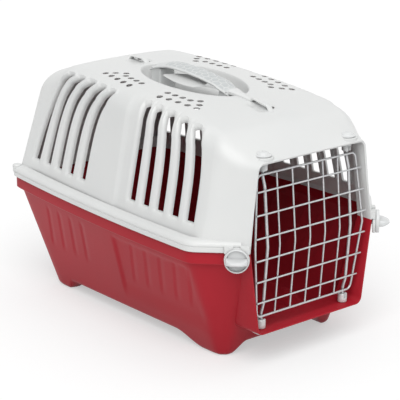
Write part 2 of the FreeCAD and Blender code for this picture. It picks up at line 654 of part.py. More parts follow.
def rounded_path(points, radii, closed=False):
    """Wire of straight runs joined by tangent arcs; radii gives one radius for each inner point."""
    count = len(points)
    order = range(count) if closed else range(1, count - 1)
    turns = {}
    for slot, index in enumerate(order):
        here = points[index]
        before = (points[index - 1] - here).normalize()
        after = (points[(index + 1) % count] - here).normalize()
        half_angle = math.acos(max(-1.0, min(1.0, before.dot(after)))) / 2
        reach = radii[slot] / math.tan(half_angle)
        inward = (before + after).normalize()
        middle = here + inward * (radii[slot] / math.sin(half_angle) - radii[slot])
        turns[index] = (here + before * reach, middle, here + after * reach)
    edges = []
    last = count if closed else count - 1
    for index in range(last):
        following = (index + 1) % count
        start = turns[index][2] if index in turns else points[index]
        end = turns[following][0] if following in turns else points[following]
        edges.append(line(start, end))
        if following in turns:
            edges.append(arc(*turns[following]))
    return Part.Wire(edges)


def sweep(path, diameter):
    """Round wire of the given diameter along a path."""
    first = path.OrderedEdges[0]
    start = first.valueAt(first.FirstParameter)
    direction = first.tangentAt(first.FirstParameter)
    circle = Part.Wire([Part.Circle(start, direction, diameter / 2).toShape()])
    shell = Part.BRepOffsetAPI.MakePipeShell(path)
    shell.add(circle)
    shell.build()
    shell.makeSolid()
    return shell.shape()


def make_door_frame():
    top_y = plane_y(DOOR_TOP_Z)
    corners = [Vector(0, top_y, DOOR_TOP_Z), Vector(DOOR_TOP_HALF, top_y, DOOR_TOP_Z),
               Vector(DOOR_MIDDLE_HALF, GRID_PLANE_Y, DOOR_MIDDLE_Z),
               Vector(DOOR_BOTTOM_HALF, plane_y(DOOR_BOTTOM_Z), DOOR_BOTTOM_Z),
               Vector(-DOOR_BOTTOM_HALF, plane_y(DOOR_BOTTOM_Z), DOOR_BOTTOM_Z),
               Vector(-DOOR_MIDDLE_HALF, GRID_PLANE_Y, DOOR_MIDDLE_Z),
               Vector(-DOOR_TOP_HALF, top_y, DOOR_TOP_Z)]
    # The loop is swept in two halves, because its path closes on the middle of the top wire
    middle_bottom = Vector(0, plane_y(DOOR_BOTTOM_Z), DOOR_BOTTOM_Z)
    radii = [DOOR_CORNER, DOOR_BEND_RADIUS, DOOR_CORNER]
    right = sweep(rounded_path(corners[:4] + [middle_bottom], radii), FRAME_WIRE)
    left = right.mirror(Vector(0, 0, 0), Vector(1, 0, 0))
    return right.fuse(left).removeSplitter()


def bent_path(x, back, low_z, high_z):
    points = [Vector(x, plane_y(low_z) + back, low_z), Vector(x, GRID_PLANE_Y + back, DOOR_MIDDLE_Z),
              Vector(x, plane_y(high_z) + back, high_z)]
    return rounded_path(points, [DOOR_BEND_RADIUS])


def make_upright(x):
    trim = FRAME_WIRE / 2 + WELD_GAP
    return sweep(bent_path(x, -UPRIGHT_FORWARD, DOOR_BOTTOM_Z + trim, DOOR_TOP_Z - trim), GRID_WIRE)


def bend_lift(z):
    """How far the rounded bend stands behind the sharp one at height z."""
    slope = math.atan2(DOOR_BEND, DOOR_HALF_HEIGHT)
    reach = DOOR_BEND_RADIUS * math.tan(slope)
    near = max(reach * math.cos(slope) - abs(z - DOOR_MIDDLE_Z), 0.0)
    return near ** 2 / (2 * DOOR_BEND_RADIUS)


def make_rail(z):
    y = plane_y(z) + bend_lift(z) - RAIL_BACK
    half = wire_half(z)
    start = Vector(-half - FRAME_WIRE / 2, y, z)
    return cylinder(GRID_WIRE / 2, start, Vector(1, 0, 0), 2 * half + FRAME_WIRE + RAIL_OVERSHOOT)


def make_rod(x):
    low_end = DOOR_BOTTOM_Z - FRAME_WIRE / 2 - LATCH_ROD_GRIP
    high_end = DOOR_TOP_Z + FRAME_WIRE / 2 + LATCH_ROD_GRIP
    low_jog = DOOR_BOTTOM_Z + ROD_JOG
    high_jog = DOOR_TOP_Z - ROD_JOG
    points = [Vector(x, ROD_Y, low_end), Vector(x, ROD_Y, DOOR_BOTTOM_Z + FRAME_WIRE),
              Vector(x, plane_y(low_jog) + ROD_BACK, low_jog),
              Vector(x, GRID_PLANE_Y + ROD_BACK, DOOR_MIDDLE_Z),
              Vector(x, plane_y(high_jog) + ROD_BACK, high_jog), Vector(x, ROD_Y, DOOR_TOP_Z - FRAME_WIRE),
              Vector(x, ROD_Y, high_end)]
    radii = [ROD_JOG_RADIUS, ROD_JOG_RADIUS, DOOR_BEND_RADIUS, ROD_JOG_RADIUS, ROD_JOG_RADIUS]
    return sweep(rounded_path(points, radii), ROD_WIRE)


def make_latch(sign, upper, mouth):
    """Turning latch: a button outside the shell, a stem through it and a slotted jaw round the rod's end.

    mouth is the side of the jaw's slot at rest: a unit vector.
    """
    away = 1 if upper else -1
    axis = UP * away
    jaw_seat = COLLAR_TOP_Z - COLLAR_WALL if upper else COLLAR_SILL_Z + COLLAR_WALL
    wall_out = HOOD_SEAT_Z if upper else COLLAR_SILL_Z
    frame_end = DOOR_TOP_Z if upper else DOOR_BOTTOM_Z
    rod_end = frame_end + away * (FRAME_WIRE / 2 + LATCH_ROD_GRIP)
    centre = Vector(sign * ROD_X, ROD_Y, 0)
    jaw_outer = jaw_seat - away * LATCH_SEAT_GAP
    jaw_inner = jaw_outer - away * LATCH_JAW_HEIGHT
    jaw = cylinder(LATCH_JAW_RADIUS, centre + UP * jaw_outer, axis * -1, LATCH_JAW_HEIGHT)
    stem_start = jaw_outer - away * 1.0
    stem_end = wall_out + away * (LATCH_SEAT_GAP + 1.0)
    stem = cylinder(LATCH_STEM_RADIUS, centre + UP * stem_start, axis, abs(stem_end - stem_start))
    button_base = wall_out + away * LATCH_SEAT_GAP
    button = cylinder(LATCH_BUTTON_RADIUS, centre + UP * button_base, axis, LATCH_BUTTON_HEIGHT)
    rim = [e for e in button.Edges if abs(e.CenterOfMass.z - button_base - away * LATCH_BUTTON_HEIGHT) < 0.01]
    button = button.makeFillet(LATCH_BUTTON_HEIGHT * 0.6, rim)
    bore_radius = ROD_WIRE / 2 + LATCH_BORE_PLAY
    bore_depth = abs(rod_end - jaw_inner) + LATCH_SEAT_GAP
    bore = cylinder(bore_radius, centre + UP * jaw_inner, axis, bore_depth)
    slot = box(0, LATCH_JAW_RADIUS + 1, -bore_radius, bore_radius, 0, bore_depth)
    slot.rotate(Vector(0, 0, 0), UP, math.degrees(math.atan2(mouth.y, mouth.x)))
    base_z = jaw_inner if upper else jaw_inner - bore_depth
    slot.translate(centre + UP * base_z)
    return jaw.multiFuse([stem, button]).cut(Part.makeCompound([bore, slot]))


def make_knob(sign):
    normal, forward = corner_frame(sign)
    disc = cylinder(KNOB_RADIUS, on_axis(sign, KNOB_BACK_D), normal, KNOB_DISC)
    front_d = KNOB_BACK_D + KNOB_DISC
    grip = corner_block(sign, front_d - 1, front_d + KNOB_GRIP_HEIGHT, KNOB_GRIP_LENGTH / 2, KNOB_ALONG,
                        KNOB_Z - KNOB_GRIP_WIDTH / 2, KNOB_Z + KNOB_GRIP_WIDTH / 2)
    ends = [e for e in grip.Edges if abs(e.tangentAt(e.FirstParameter).dot(UP)) > 0.99]
    outer = [e for e in ends if e.CenterOfMass.dot(normal) > front_d]
    grip = grip.makeFillet(KNOB_GRIP_ROUND, outer)
    shaft = cylinder(KNOB_SHAFT_RADIUS, on_axis(sign, KNOB_BACK_D - KNOB_SHAFT_DEPTH + TAB_GAP), normal,
                     KNOB_SHAFT_DEPTH)
    return disc.multiFuse([grip, shaft])


def make_key(sign):
    """Oblong key on the knob's shaft, upright when the lock is open."""
    normal = corner_frame(sign)[0]
    back = TAB_BACK_D + TAB_GAP
    thickness = TAB_THICKNESS - 2 * TAB_GAP
    block = corner_block(sign, back, back + thickness, KEY_WIDTH / 2, KNOB_ALONG,
                         KNOB_Z - KEY_LENGTH / 2, KNOB_Z + KEY_LENGTH / 2)
    round_ends = cylinder(KEY_LENGTH / 2, on_axis(sign, back), normal, thickness)
    hole = cylinder(KNOB_SHAFT_RADIUS, on_axis(sign, back - 1), normal, thickness + 2)
    return block.common(round_ends).cut(hole)


def make_parts():
    parts = {"tray": make_tray(), "lid": make_lid(), "hand_well": make_well(), "handle": make_handle()}
    parts["front_strap_bar"] = make_strap_bar(BAR_FRONT_Y)
    parts["rear_strap_bar"] = make_strap_bar(BAR_REAR_Y)
    parts["door_frame"] = make_door_frame()
    for index in range(UPRIGHT_COUNT):
        x = (index - (UPRIGHT_COUNT - 1) / 2) * UPRIGHT_PITCH
        parts["door_upright_%d" % (index + 1)] = make_upright(x)
    for index in range(RAIL_COUNT):
        z = DOOR_MIDDLE_Z + ((RAIL_COUNT - 1) / 2 - index) * RAIL_PITCH
        parts["door_rail_%d" % (index + 1)] = make_rail(z)
    for side, sign in (("left", -1), ("right", 1)):
        parts["door_rod_" + side] = make_rod(sign * ROD_X)
        mouth = Vector(0, -1, 0) if sign > 0 else Vector(1, 0, 0)
        parts["top_%s_latch" % side] = make_latch(sign, True, mouth)
        parts["bottom_%s_latch" % side] = make_latch(sign, False, mouth)
        parts["front_%s_knob" % side] = make_knob(sign)
        parts["front_%s_lock_key" % side] = make_key(sign)
    return parts


os.makedirs("parts", exist_ok=True)
for name, shape in make_parts().items():
    if len(shape.Solids) == 1:
        shape = shape.Solids[0]
    bounds = shape.BoundBox
    print("%-24s solids %d valid %s volume %.0f  x %.1f %.1f  y %.1f %.1f  z %.1f %.1f" % (
        name, len(shape.Solids), shape.isValid(), shape.Volume, bounds.XMin, bounds.XMax,
        bounds.YMin, bounds.YMax, bounds.ZMin, bounds.ZMax))
    shape.exportStep("parts/%s.step" % name)
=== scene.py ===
"""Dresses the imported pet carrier: red tray, pale slotted lid, handle, wire door, latches and knobs.

Metres, in the part's own frame: +X to the right as seen from the door, +Y from the door to the
rear, +Z up.
"""
import math

import bpy
import numpy as np
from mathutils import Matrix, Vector


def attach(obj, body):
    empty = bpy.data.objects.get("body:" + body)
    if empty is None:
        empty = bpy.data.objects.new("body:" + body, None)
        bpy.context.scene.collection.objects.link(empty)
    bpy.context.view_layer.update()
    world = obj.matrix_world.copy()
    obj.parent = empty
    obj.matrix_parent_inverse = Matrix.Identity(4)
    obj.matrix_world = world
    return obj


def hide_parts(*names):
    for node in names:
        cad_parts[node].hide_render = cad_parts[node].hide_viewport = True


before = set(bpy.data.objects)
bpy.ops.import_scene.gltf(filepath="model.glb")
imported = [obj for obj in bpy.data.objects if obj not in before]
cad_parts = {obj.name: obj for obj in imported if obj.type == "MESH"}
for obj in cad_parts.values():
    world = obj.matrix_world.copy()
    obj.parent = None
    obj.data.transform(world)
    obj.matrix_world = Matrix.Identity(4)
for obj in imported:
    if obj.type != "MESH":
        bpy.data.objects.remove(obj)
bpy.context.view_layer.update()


# Tray: the lower shell, a rose-red polypropylene moulding with leaning walls and four corner feet.
# Its rim band carries the lid, and half of the door's collar stands forward of its front wall.
# The long sides have thin flutes below the lid's slots, which drift rearwards going down.
parting_z = 0.154
front_y, rear_y = -0.227, 0.240
rim_half, rim_front_half = 0.1575, 0.105
rear_narrowing, rear_corner = 0.0235, 0.014
tray_top_z, foot_height = 0.138, 0.014
tray_wall_thickness = 0.0028
sill_z, sill_half = 0.044, 0.089
doorway_corner = 0.010
collar_depth, collar_lean, collar_rise = 0.024, 0.004, 0.108


def skin(points, closed_rows=False, closed_columns=False, first_cap=False, last_cap=False,
         skip=None):
    """Vertices and faces of a net of points[row, column], with optional end caps and gaps."""
    rows, columns = points.shape[:2]
    faces = []
    for row in range(rows if closed_rows else rows - 1):
        for column in range(columns if closed_columns else columns - 1):
            if skip is not None and skip[row, column]:
                continue
            below, beside = (row + 1) % rows, (column + 1) % columns
            faces.append((row * columns + column, row * columns + beside,
                          below * columns + beside, below * columns + column))
    if first_cap:
        faces.append(tuple(range(columns - 1, -1, -1)))
    if last_cap:
        faces.append(tuple(range((rows - 1) * columns, rows * columns)))
    return points.reshape(-1, 3), faces


def closed_skin(rings):
    """Skin over a run of closed rings, capped at both ends."""
    return skin(np.array(rings), closed_columns=True, first_cap=True, last_cap=True)


def placed(name, data):
    """New object in the scene."""
    piece = bpy.data.objects.new(name, data)
    bpy.context.scene.collection.objects.link(piece)
    return piece


def joined_mesh(name, parts):
    """One mesh from several pairs of vertices and faces."""
    vertices, faces = [], []
    for points, own_faces in parts:
        start = len(vertices)
        vertices += [tuple(p) for p in points]
        faces += [tuple(start + i for i in face) for face in own_faces]
    mesh = bpy.data.meshes.new(name)
    mesh.from_pydata(vertices, [], faces)
    return mesh


def soften(piece):
    """Smooth shading, with the edges of the moulding kept crisp."""
    piece.data.shade_smooth()
    piece.data.set_sharp_from_angle(angle=math.radians(35))


def moulded(name, *skins):
    """One object from several skins, with its normals outwards and its flat runs kept crisp."""
    mesh = joined_mesh(name, skins)
    mesh.validate()
    piece = placed(name, mesh)
    bpy.context.view_layer.objects.active = piece
    with bpy.context.temp_override(active_object=piece, object=piece, selected_objects=[piece]):
        bpy.ops.object.mode_set(mode="EDIT")
        bpy.ops.mesh.select_all(action="SELECT")
        bpy.ops.mesh.normals_make_consistent(inside=False)
        bpy.ops.object.mode_set(mode="OBJECT")
    soften(piece)
    return piece


def merged(name, *pieces):
    """Several meshes as one object."""
    parts = [([v.co[:] for v in piece.data.vertices], [p.vertices[:] for p in piece.data.polygons])
             for piece in pieces]
    for piece in pieces:
        bpy.data.objects.remove(piece)
    whole = placed(name, joined_mesh(name, parts))
    soften(whole)
    return whole


def plain_mesh(piece):
    """A piece's mesh with its modifiers applied."""
    depsgraph = bpy.context.evaluated_depsgraph_get()
    return bpy.data.meshes.new_from_object(piece.evaluated_get(depsgraph), depsgraph=depsgraph)


def settle(piece):
    """Turns a piece's modifiers into its plain mesh."""
    mesh = plain_mesh(piece)
    piece.modifiers.clear()
    piece.data = mesh
    return piece


def thickened(shell, thickness):
    """Gives a shell its wall, inwards from its outer skin."""
    wall = shell.modifiers.new("wall", "SOLIDIFY")
    wall.thickness = thickness
    wall.offset = -1
    return settle(shell)


def cut(piece, tool, operation="DIFFERENCE"):
    """Cuts a closed tool out of a closed piece, or joins it to it, and removes the tool."""
    change = piece.modifiers.new(operation.lower(), "BOOLEAN")
    change.operation = operation
    change.solver = "MANIFOLD"
    change.object = tool
    settle(piece)
    bpy.data.objects.remove(tool)
    return piece


def smooth_step(value):
    """0 up to 0, 1 from 1 on, and an eased ramp between them."""
    value = np.clip(value, 0.0, 1.0)
    return value * value * (3 - 2 * value)


def plan_outline(half, front, rear, front_half, narrowing, corner, ease, inset=0.0):
    """Plan of a shell from the middle of its front by the right to the rear, and mirrored back."""
    half, front, rear = half - inset, front + inset, rear - inset
    front_half = front_half - inset * (math.sqrt(2) - 1)
    chamfer_y = front + half - front_half
    widest = chamfer_y + 0.028
    side_end = rear - corner
    bow = narrowing / (side_end - widest) ** 2
    side_y = np.linspace(chamfer_y, side_end, 150)
    side_x = half - bow * np.maximum(side_y - widest, 0) ** 2
    turn = np.linspace(0, math.pi / 2, 16)[1:]
    corner_x = side_x[-1] - 0.95 * corner * (1 - np.cos(turn))
    corner_y = side_end + corner * np.sin(turn)
    front_x = np.linspace(0, front_half, 36, endpoint=False)
    chamfer = np.linspace(0, 1, 24, endpoint=False)
    rear_x = np.linspace(corner_x[-1], 0, 20)[1:]
    x = np.concatenate([front_x, front_half + (half - front_half) * chamfer, side_x, corner_x,
                        rear_x])
    y = np.concatenate([0 * front_x + front, front + (chamfer_y - front) * chamfer, side_y,
                        corner_y, 0 * rear_x + rear])
    x = np.concatenate([x, -x[-2:0:-1]])
    y = np.concatenate([y, y[-2:0:-1]])
    for _ in range(ease):
        x = (np.roll(x, 1) + x + np.roll(x, -1)) / 3
        y = (np.roll(y, 1) + y + np.roll(y, -1)) / 3
    return x, y


def rim_outline(inset):
    """Plan of the rim, where the two shells meet."""
    return plan_outline(rim_half, front_y, rear_y, rim_front_half, rear_narrowing, rear_corner,
                        9, inset)


def tray_outline(z):
    """Plan of the tray's outer wall at height z: it draws in on all sides going down."""
    share = (tray_top_z - z) / (tray_top_z - foot_height)
    half = 0.150 - 0.048 * share
    front = front_y + 0.009 + 0.044 * share
    rear = rear_y - 0.0075 - 0.0345 * share
    front_half = 0.100 - 0.012 * share
    narrowing = rear_narrowing - 0.021 * share
    corner = rear_corner + 0.004 * share
    return plan_outline(half, front, rear, front_half, narrowing, corner, 25)


def doorway_path(edge_z, edge_half, inset):
    """Half of the doorway's outline in x and z, from its right end at the parting plane round."""
    away = 1 if edge_z > parting_z else -1
    near = np.array([rim_front_half - inset, parting_z])
    far = np.array([edge_half - inset, edge_z - away * inset])
    corner = doorway_corner - inset
    along = (near - far) / np.linalg.norm(near - far)
    half_angle = math.acos(np.dot(along, [-1.0, 0.0])) / 2
    reach = corner / math.tan(half_angle)
    centre_way = along + np.array([-1.0, 0.0])
    centre_way = centre_way / np.linalg.norm(centre_way)
    centre = far + centre_way * corner / math.sin(half_angle)
    first, last = far + along * reach - centre, far + np.array([-reach, 0.0]) - centre
    turn = np.linspace(math.atan2(first[1], first[0]), math.atan2(last[1], last[0]), 12)
    rise = np.linspace(0, 1, 16, endpoint=False)[:, None]
    side = near + (centre + first - near) * rise
    bend = centre + corner * np.column_stack([np.cos(turn), np.sin(turn)])
    right = np.vstack([side, bend, [[bend[-1, 0] * 0.5, bend[-1, 1]]]])
    left = right[::-1] * [-1, 1]
    return np.vstack([right, [[0.0, right[-1, 1]]], left])


def collar_skin(edge_z, edge_half, back):
    """Ring round half of the doorway, with a rounded lip; back gives its rear edge at height z."""
    lip = [(0.0, 0.0010), (0.0004, 0.0003), (0.0011, 0.0), (0.0018, 0.0003), (0.0022, 0.0010),
           (0.0022, None), (0.0, None)]
    rows = []
    for inset, forward in lip:
        path = doorway_path(edge_z, edge_half, inset)
        lean = collar_lean * np.maximum(path[:, 1] - parting_z, 0) / collar_rise
        y = back(path[:, 1]) if forward is None else front_y + forward + lean
        rows.append(np.column_stack([path[:, 0], y, path[:, 1]]))
    return closed_skin(np.array(rows).transpose(1, 0, 2))


def side_recess(y, z):
    """Depth of the front side panel, which lies a little inside the rest of the side."""
    panel_depth, edge_y, edge_slant, slant_top_z = 0.0026, -0.004, 0.175, 0.134
    edge = edge_y + edge_slant * np.maximum(slant_top_z - z, 0)
    panel = smooth_step((edge - y) / 0.007) * smooth_step((y + 0.190) / 0.030)
    return panel_depth * panel * smooth_step((z - 0.03) / 0.03)


def foot_share(x, y):
    """1 on the sole of a foot, 0 under the floor between the feet."""
    front_foot_y, front_foot_x = -0.083, 0.058
    rear_foot_x, rear_foot_y, rear_foot_radius = 0.082, 0.172, 0.034
    front = smooth_step((front_foot_y - y) / 0.048)
    front = front * smooth_step((np.abs(x) - front_foot_x) / 0.024)
    away = np.hypot(np.abs(x) - rear_foot_x, y - rear_foot_y)
    return np.maximum(front, smooth_step((rear_foot_radius - away) / 0.018))


def side_flutes(y, z):
    """Depth of the thin flutes below the slots, crisp on one side only."""
    flute_depth, flute_width = 0.0012, 0.010
    flutes = [(-0.045 - 0.0293 * i, 0.37) for i in range(5)]
    flutes += [(0.067 + 0.0285 * i, 0.25) for i in range(4)]
    depth = 0 * y
    for place, drift in flutes:
        ramp = (place + drift * (0.126 - z) + 0.003 - y) / flute_width
        shape = np.where(ramp > 0, np.clip(1 - ramp, 0, 1), np.clip(1 + ramp * 5, 0, 1))
        ends = smooth_step((0.131 - z) / 0.010), smooth_step((z - 0.060) / 0.016)
        depth = np.maximum(depth, shape * ends[0] * ends[1])
    return flute_depth * depth


def tray_wall():
    """The tray's walls, feet and floor as one shell, with the doorway cut out of its front."""
    levels = np.linspace(0.0, 0.1425, 72)
    outlines = np.array([np.column_stack(tray_outline(z)) for z in levels])
    columns = np.arange(outlines.shape[1])
    sole_ease = ((0.0030, 0.0004), (0.0016, 0.0013), (0.0006, 0.0027), (0.0, 0.0046))
    wall_start, wall_end = sole_ease[-1][1], 0.136

    def at_height(z):
        """Plan points of the wall, each column at its own height."""
        place = np.clip(z / levels[1], 0, len(levels) - 1.001)
        low = place.astype(int)
        share = (place - low)[:, None]
        return outlines[low, columns] * (1 - share) + outlines[low + 1, columns] * share

    sole = at_height(np.full(len(columns), 0.004))
    way = np.roll(sole, -1, axis=0) - np.roll(sole, 1, axis=0)
    inward = np.column_stack([-way[:, 1], way[:, 0]]) / np.linalg.norm(way, axis=1, keepdims=True)
    edge = sole + inward * 0.005
    edge_z = foot_height * (1 - foot_share(edge[:, 0], edge[:, 1]))
    rows = []
    for share in np.linspace(0.05, 1.0, 26):
        x, y = (edge * share).T
        rows.append(np.column_stack([x, y, foot_height * (1 - foot_share(x, y))]))
    for inset, rise in sole_ease:
        rows.append(np.column_stack([at_height(edge_z + rise) + inward * inset, edge_z + rise]))
    for share in np.linspace(0, 1, 46)[1:]:
        z = edge_z + wall_start + (wall_end - wall_start - edge_z) * share
        x, y = at_height(z).T
        side = smooth_step((np.abs(x) - 0.085) / 0.012) * smooth_step((y + 0.168) / 0.02)
        recess = side_recess(y, z) * smooth_step((0.131 - z) / 0.007)
        depth = side * (side_flutes(y, z) + recess)
        rows.append(np.column_stack([x - np.sign(x) * depth, y, z]))
    for z in (0.1385, 0.1420):
        rows.append(np.column_stack([*tray_outline(z), np.full(len(columns), z)]))
    wall = moulded("tray_wall", skin(np.array(rows), closed_columns=True, first_cap=True))
    thickened(wall, tray_wall_thickness)
    path = doorway_path(sill_z, sill_half, 0.0012)
    opening = np.array([np.column_stack([path[:, 0], 0 * path[:, 0] + y, path[:, 1]])
                        for y in (-0.26, -0.15)])
    opening[:, [0, -1], 2] = 0.17
    return cut(wall, moulded("doorway", closed_skin(opening)))


def rim_skin(profile):
    """Sweep of a closed profile of (inset, z) round the rim, from doorway to doorway."""
    start_x = 0.1035
    rows = []
    for inset, z in profile:
        x, y = rim_outline(inset)
        keep = ~((np.abs(x) < start_x) & (y < 0))
        first = np.argmax(keep)
        x, y, keep = np.roll(x, -first), np.roll(y, -first), np.roll(keep, -first)
        rows.append((x[keep], y[keep], z))
    shortest = min(len(x) for x, _, _ in rows)
    net = []
    for x, y, z in rows:
        spare = (len(x) - shortest) // 2
        x, y = x[spare:spare + shortest], y[spare:spare + shortest]
        net.append(np.column_stack([x, y, 0 * x + z]))
    return closed_skin(np.array(net).transpose(1, 0, 2))


def sill_back(z):
    """Rear edge of the collar's lower half, which slopes back to the sill."""
    return front_y + collar_depth + 0.02 * (parting_z - z) / 0.11


band_profile = [(0.0026, 0.1395), (0.0026, 0.1520), (0.0030, 0.1536), (0.0046, 0.1540),
                (0.0095, 0.1540), (0.0095, 0.1380), (0.0052, 0.1380), (0.0034, 0.1384)]
tray_rims = moulded("tray_rims", rim_skin(band_profile), collar_skin(sill_z, sill_half, sill_back))
tray = merged("tray_shell", tray_wall(), tray_rims)


def new_material(name):
    """Material with nodes, its tree and its surface shader."""
    material = bpy.data.materials.new(name)
    material.use_nodes = True
    return material, material.node_tree, material.node_tree.nodes["Principled BSDF"]


def add_node(tree, kind, **values):
    """New shader node with some sockets set; _ in a socket's name stands for a space."""
    made = tree.nodes.new("ShaderNode" + kind)
    for socket, value in values.items():
        made.inputs[socket.replace("_", " ")].default_value = value
    return made


def noise(tree, **values):
    """Noise over the piece's own coordinates."""
    pattern = add_node(tree, "TexNoise", **values)
    place = add_node(tree, "TexCoord")
    tree.links.new(place.outputs["Object"], pattern.inputs["Vector"])
    return pattern.outputs["Fac"]


def two_tone(tree, factor, first, last, stops=(0.0, 1.0)):
    """Colour that runs from first to last between two stops of a factor."""
    tone = add_node(tree, "ValToRGB")
    for end, stop, colour in zip(tone.color_ramp.elements, stops, (first, last)):
        end.position = stop
        end.color = (*colour, 1)
    tree.links.new(factor, tone.inputs["Fac"])
    return tone.outputs["Color"]


def uneven_sheen(tree, factor, surface, low, high):
    """Roughness that drifts between low and high."""
    sheen = add_node(tree, "MapRange", To_Min=low, To_Max=high)
    tree.links.new(factor, sheen.inputs["Value"])
    tree.links.new(sheen.outputs["Result"], surface.inputs["Roughness"])


def plastic(name, colour, deep_colour, roughness, grain, shine=0.5):
    """Moulded plastic: a slow cloudy drift of two close colours, uneven sheen and a fine grain."""
    material, tree, surface = new_material(name)
    surface.inputs["Specular IOR Level"].default_value = shine
    cloud = noise(tree, Scale=9.0, Detail=3.0)
    tone = two_tone(tree, cloud, deep_colour, colour, (0.30, 0.70))
    tree.links.new(tone, surface.inputs["Base Color"])
    uneven_sheen(tree, cloud, surface, roughness - 0.06, roughness + 0.06)
    relief = add_node(tree, "Bump", Strength=grain, Distance=0.0002)
    tree.links.new(noise(tree, Scale=900.0, Detail=2.0), relief.inputs["Height"])
    tree.links.new(relief.outputs["Normal"], surface.inputs["Normal"])
    return material


rose, deep_rose = (0.435, 0.0165, 0.029), (0.392, 0.0135, 0.024)
tray.data.materials.append(plastic("rose_red_polypropylene", rose, deep_rose, 0.42, 0.25, 0.18))
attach(tray, "tray")
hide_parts("tray")


# Lid: the upper shell, one pale grey polypropylene moulding with vent slots in its long sides.
# Its skirt overhangs the tray's rim, and its roof has an oval hand well, vent holes and strap bars.
# Tabs at the front corners hang over the tray and take the locks.
lid_low_z = parting_z + 0.001
lid_front_y, lid_rear_y = front_y + 0.0015, 0.2345
lid_wall_thickness = 0.0024
crown_share = 0.45
hood_z, hood_half = 0.262, 0.090
slot_low_z, slot_half = 0.184, 0.0070
slot_foot, slot_top = 0.2, 1.46
# Arches of the lid: y, wall half, shoulder half, shoulder z, crest z, shoulder radius, forward lean
stations = np.array([
    (lid_front_y, 0.1042, 0.0892, 0.2612, 0.2612, 0.010, 0.0),
    (front_y + 0.028, 0.1280, 0.1025, 0.2705, 0.2770, 0.024, 0.0),
    (front_y + 0.057, 0.1460, 0.1125, 0.2880, 0.2920, 0.024, 0.0),
    (front_y + 0.101, 0.1475, 0.1150, 0.2995, 0.3020, 0.033, 0.0),
    (front_y + 0.151, 0.1475, 0.1150, 0.3055, 0.3090, 0.037, 0.0),
    (front_y + 0.231, 0.1430, 0.1110, 0.3115, 0.3150, 0.034, 0.0),
    (0.0960, 0.1355, 0.1030, 0.3175, 0.3180, 0.030, 0.003),
    (0.1560, 0.1290, 0.0985, 0.3160, 0.3185, 0.024, 0.048),
    (0.1960, 0.1258, 0.0930, 0.3035, 0.3095, 0.029, 0.0835),
    (0.2130, 0.1252, 0.0918, 0.2990, 0.3050, 0.028, 0.093),
    (0.2240, 0.1249, 0.0910, 0.2905, 0.2995, 0.021, 0.096),
    (0.2310, 0.1243, 0.0900, 0.2790, 0.2900, 0.016, 0.096),
    (lid_rear_y, 0.1205, 0.0865, 0.2680, 0.2790, 0.014, 0.096)])


def station_at(y):
    """Wall half, shoulder half, shoulder z, crest z, radius and forward lean of the lid at y."""
    at = stations[:, 0]
    gaps = np.diff(at)
    index = np.clip(np.searchsorted(at, y) - 1, 0, len(gaps) - 1)
    h = gaps[index]
    t = np.clip((y - at[index]) / h, 0, 1)
    values = []
    for column in stations[:, 1:].T:
        slopes = np.diff(column) / gaps
        before, after = slopes[:-1], slopes[1:]
        middle = np.where(after * before > 0, 2 * after * before / (after + before + 1e-12), 0.0)
        tangents = np.concatenate([slopes[:1], middle, slopes[-1:]])
        values.append((2 * t ** 3 - 3 * t ** 2 + 1) * column[index]
                      + (t ** 3 - 2 * t ** 2 + t) * h * tangents[index]
                      + (3 * t ** 2 - 2 * t ** 3) * column[index + 1]
                      + (t ** 3 - t ** 2) * h * tangents[index + 1])
    return values


def arch(y, s):
    """A place on the lid's right half: s to 1 up the wall, to 2 round the shoulder, to 3 on top."""
    half, shoulder_x, shoulder_z, crest, radius, lean = station_at(y)
    shoulder = np.stack([shoulder_x, shoulder_z])
    crown_x = shoulder_x * crown_share
    down = np.stack([half - shoulder_x, lid_low_z - shoulder_z])
    down = down / np.hypot(*down)
    inward = np.stack([crown_x - shoulder_x, crest - shoulder_z])
    inward = inward / np.hypot(*inward)
    half_angle = np.arccos(np.clip((down * inward).sum(0), -1, 1)) / 2
    reach = radius / np.tan(half_angle)
    start, end = shoulder + down * reach, shoulder + inward * reach
    way = down + inward
    centre = shoulder + way / np.hypot(*way) * radius / np.sin(half_angle)
    z = np.where(s < slot_foot, lid_low_z + (slot_low_z - lid_low_z) * s / slot_foot,
                 slot_low_z + (start[1] - slot_low_z) * (s - slot_foot) / (1 - slot_foot))
    x = half + (start[0] - half) * (z - lid_low_z) / (start[1] - lid_low_z)
    turn_a = np.arctan2(start[1] - centre[1], start[0] - centre[0])
    turn_b = np.arctan2(end[1] - centre[1], end[0] - centre[0])
    turn = turn_a + (turn_b - turn_a) * np.clip(s - 1, 0, 1)
    x = np.where(s > 1, centre[0] + radius * np.cos(turn), x)
    z = np.where(s > 1, centre[1] + radius * np.sin(turn), z)
    t = np.clip(s - 2, 0, 1)
    x = np.where(s > 2, end[0] * (1 - t) ** 2 + crown_x * 2 * t * (1 - t), x)
    z = np.where(s > 2, end[1] * (1 - t) ** 2 + crest * 2 * t * (1 - t) + crest * t ** 2, z)
    return x, y - lean * (z - lid_low_z), z


def roof_z(x, y):
    """Height of the lid's outer skin over the point x, y."""
    s = np.linspace(1, 3, 160)
    place = y
    for _ in range(4):
        across, _, up = arch(np.full_like(s, place), s)
        top = float(np.interp(abs(x), across[::-1], up[::-1]))
        place = y + float(station_at(place)[5]) * (top - lid_low_z)
    return top


def slot_places():
    """Base places along Y of the slots of one long side, front group and rear group."""
    groups = ((-0.0955, 0.0285), (0.1365, 0.0308))
    return [middle + (i - 2) * pitch for middle, pitch in groups for i in range(5)]


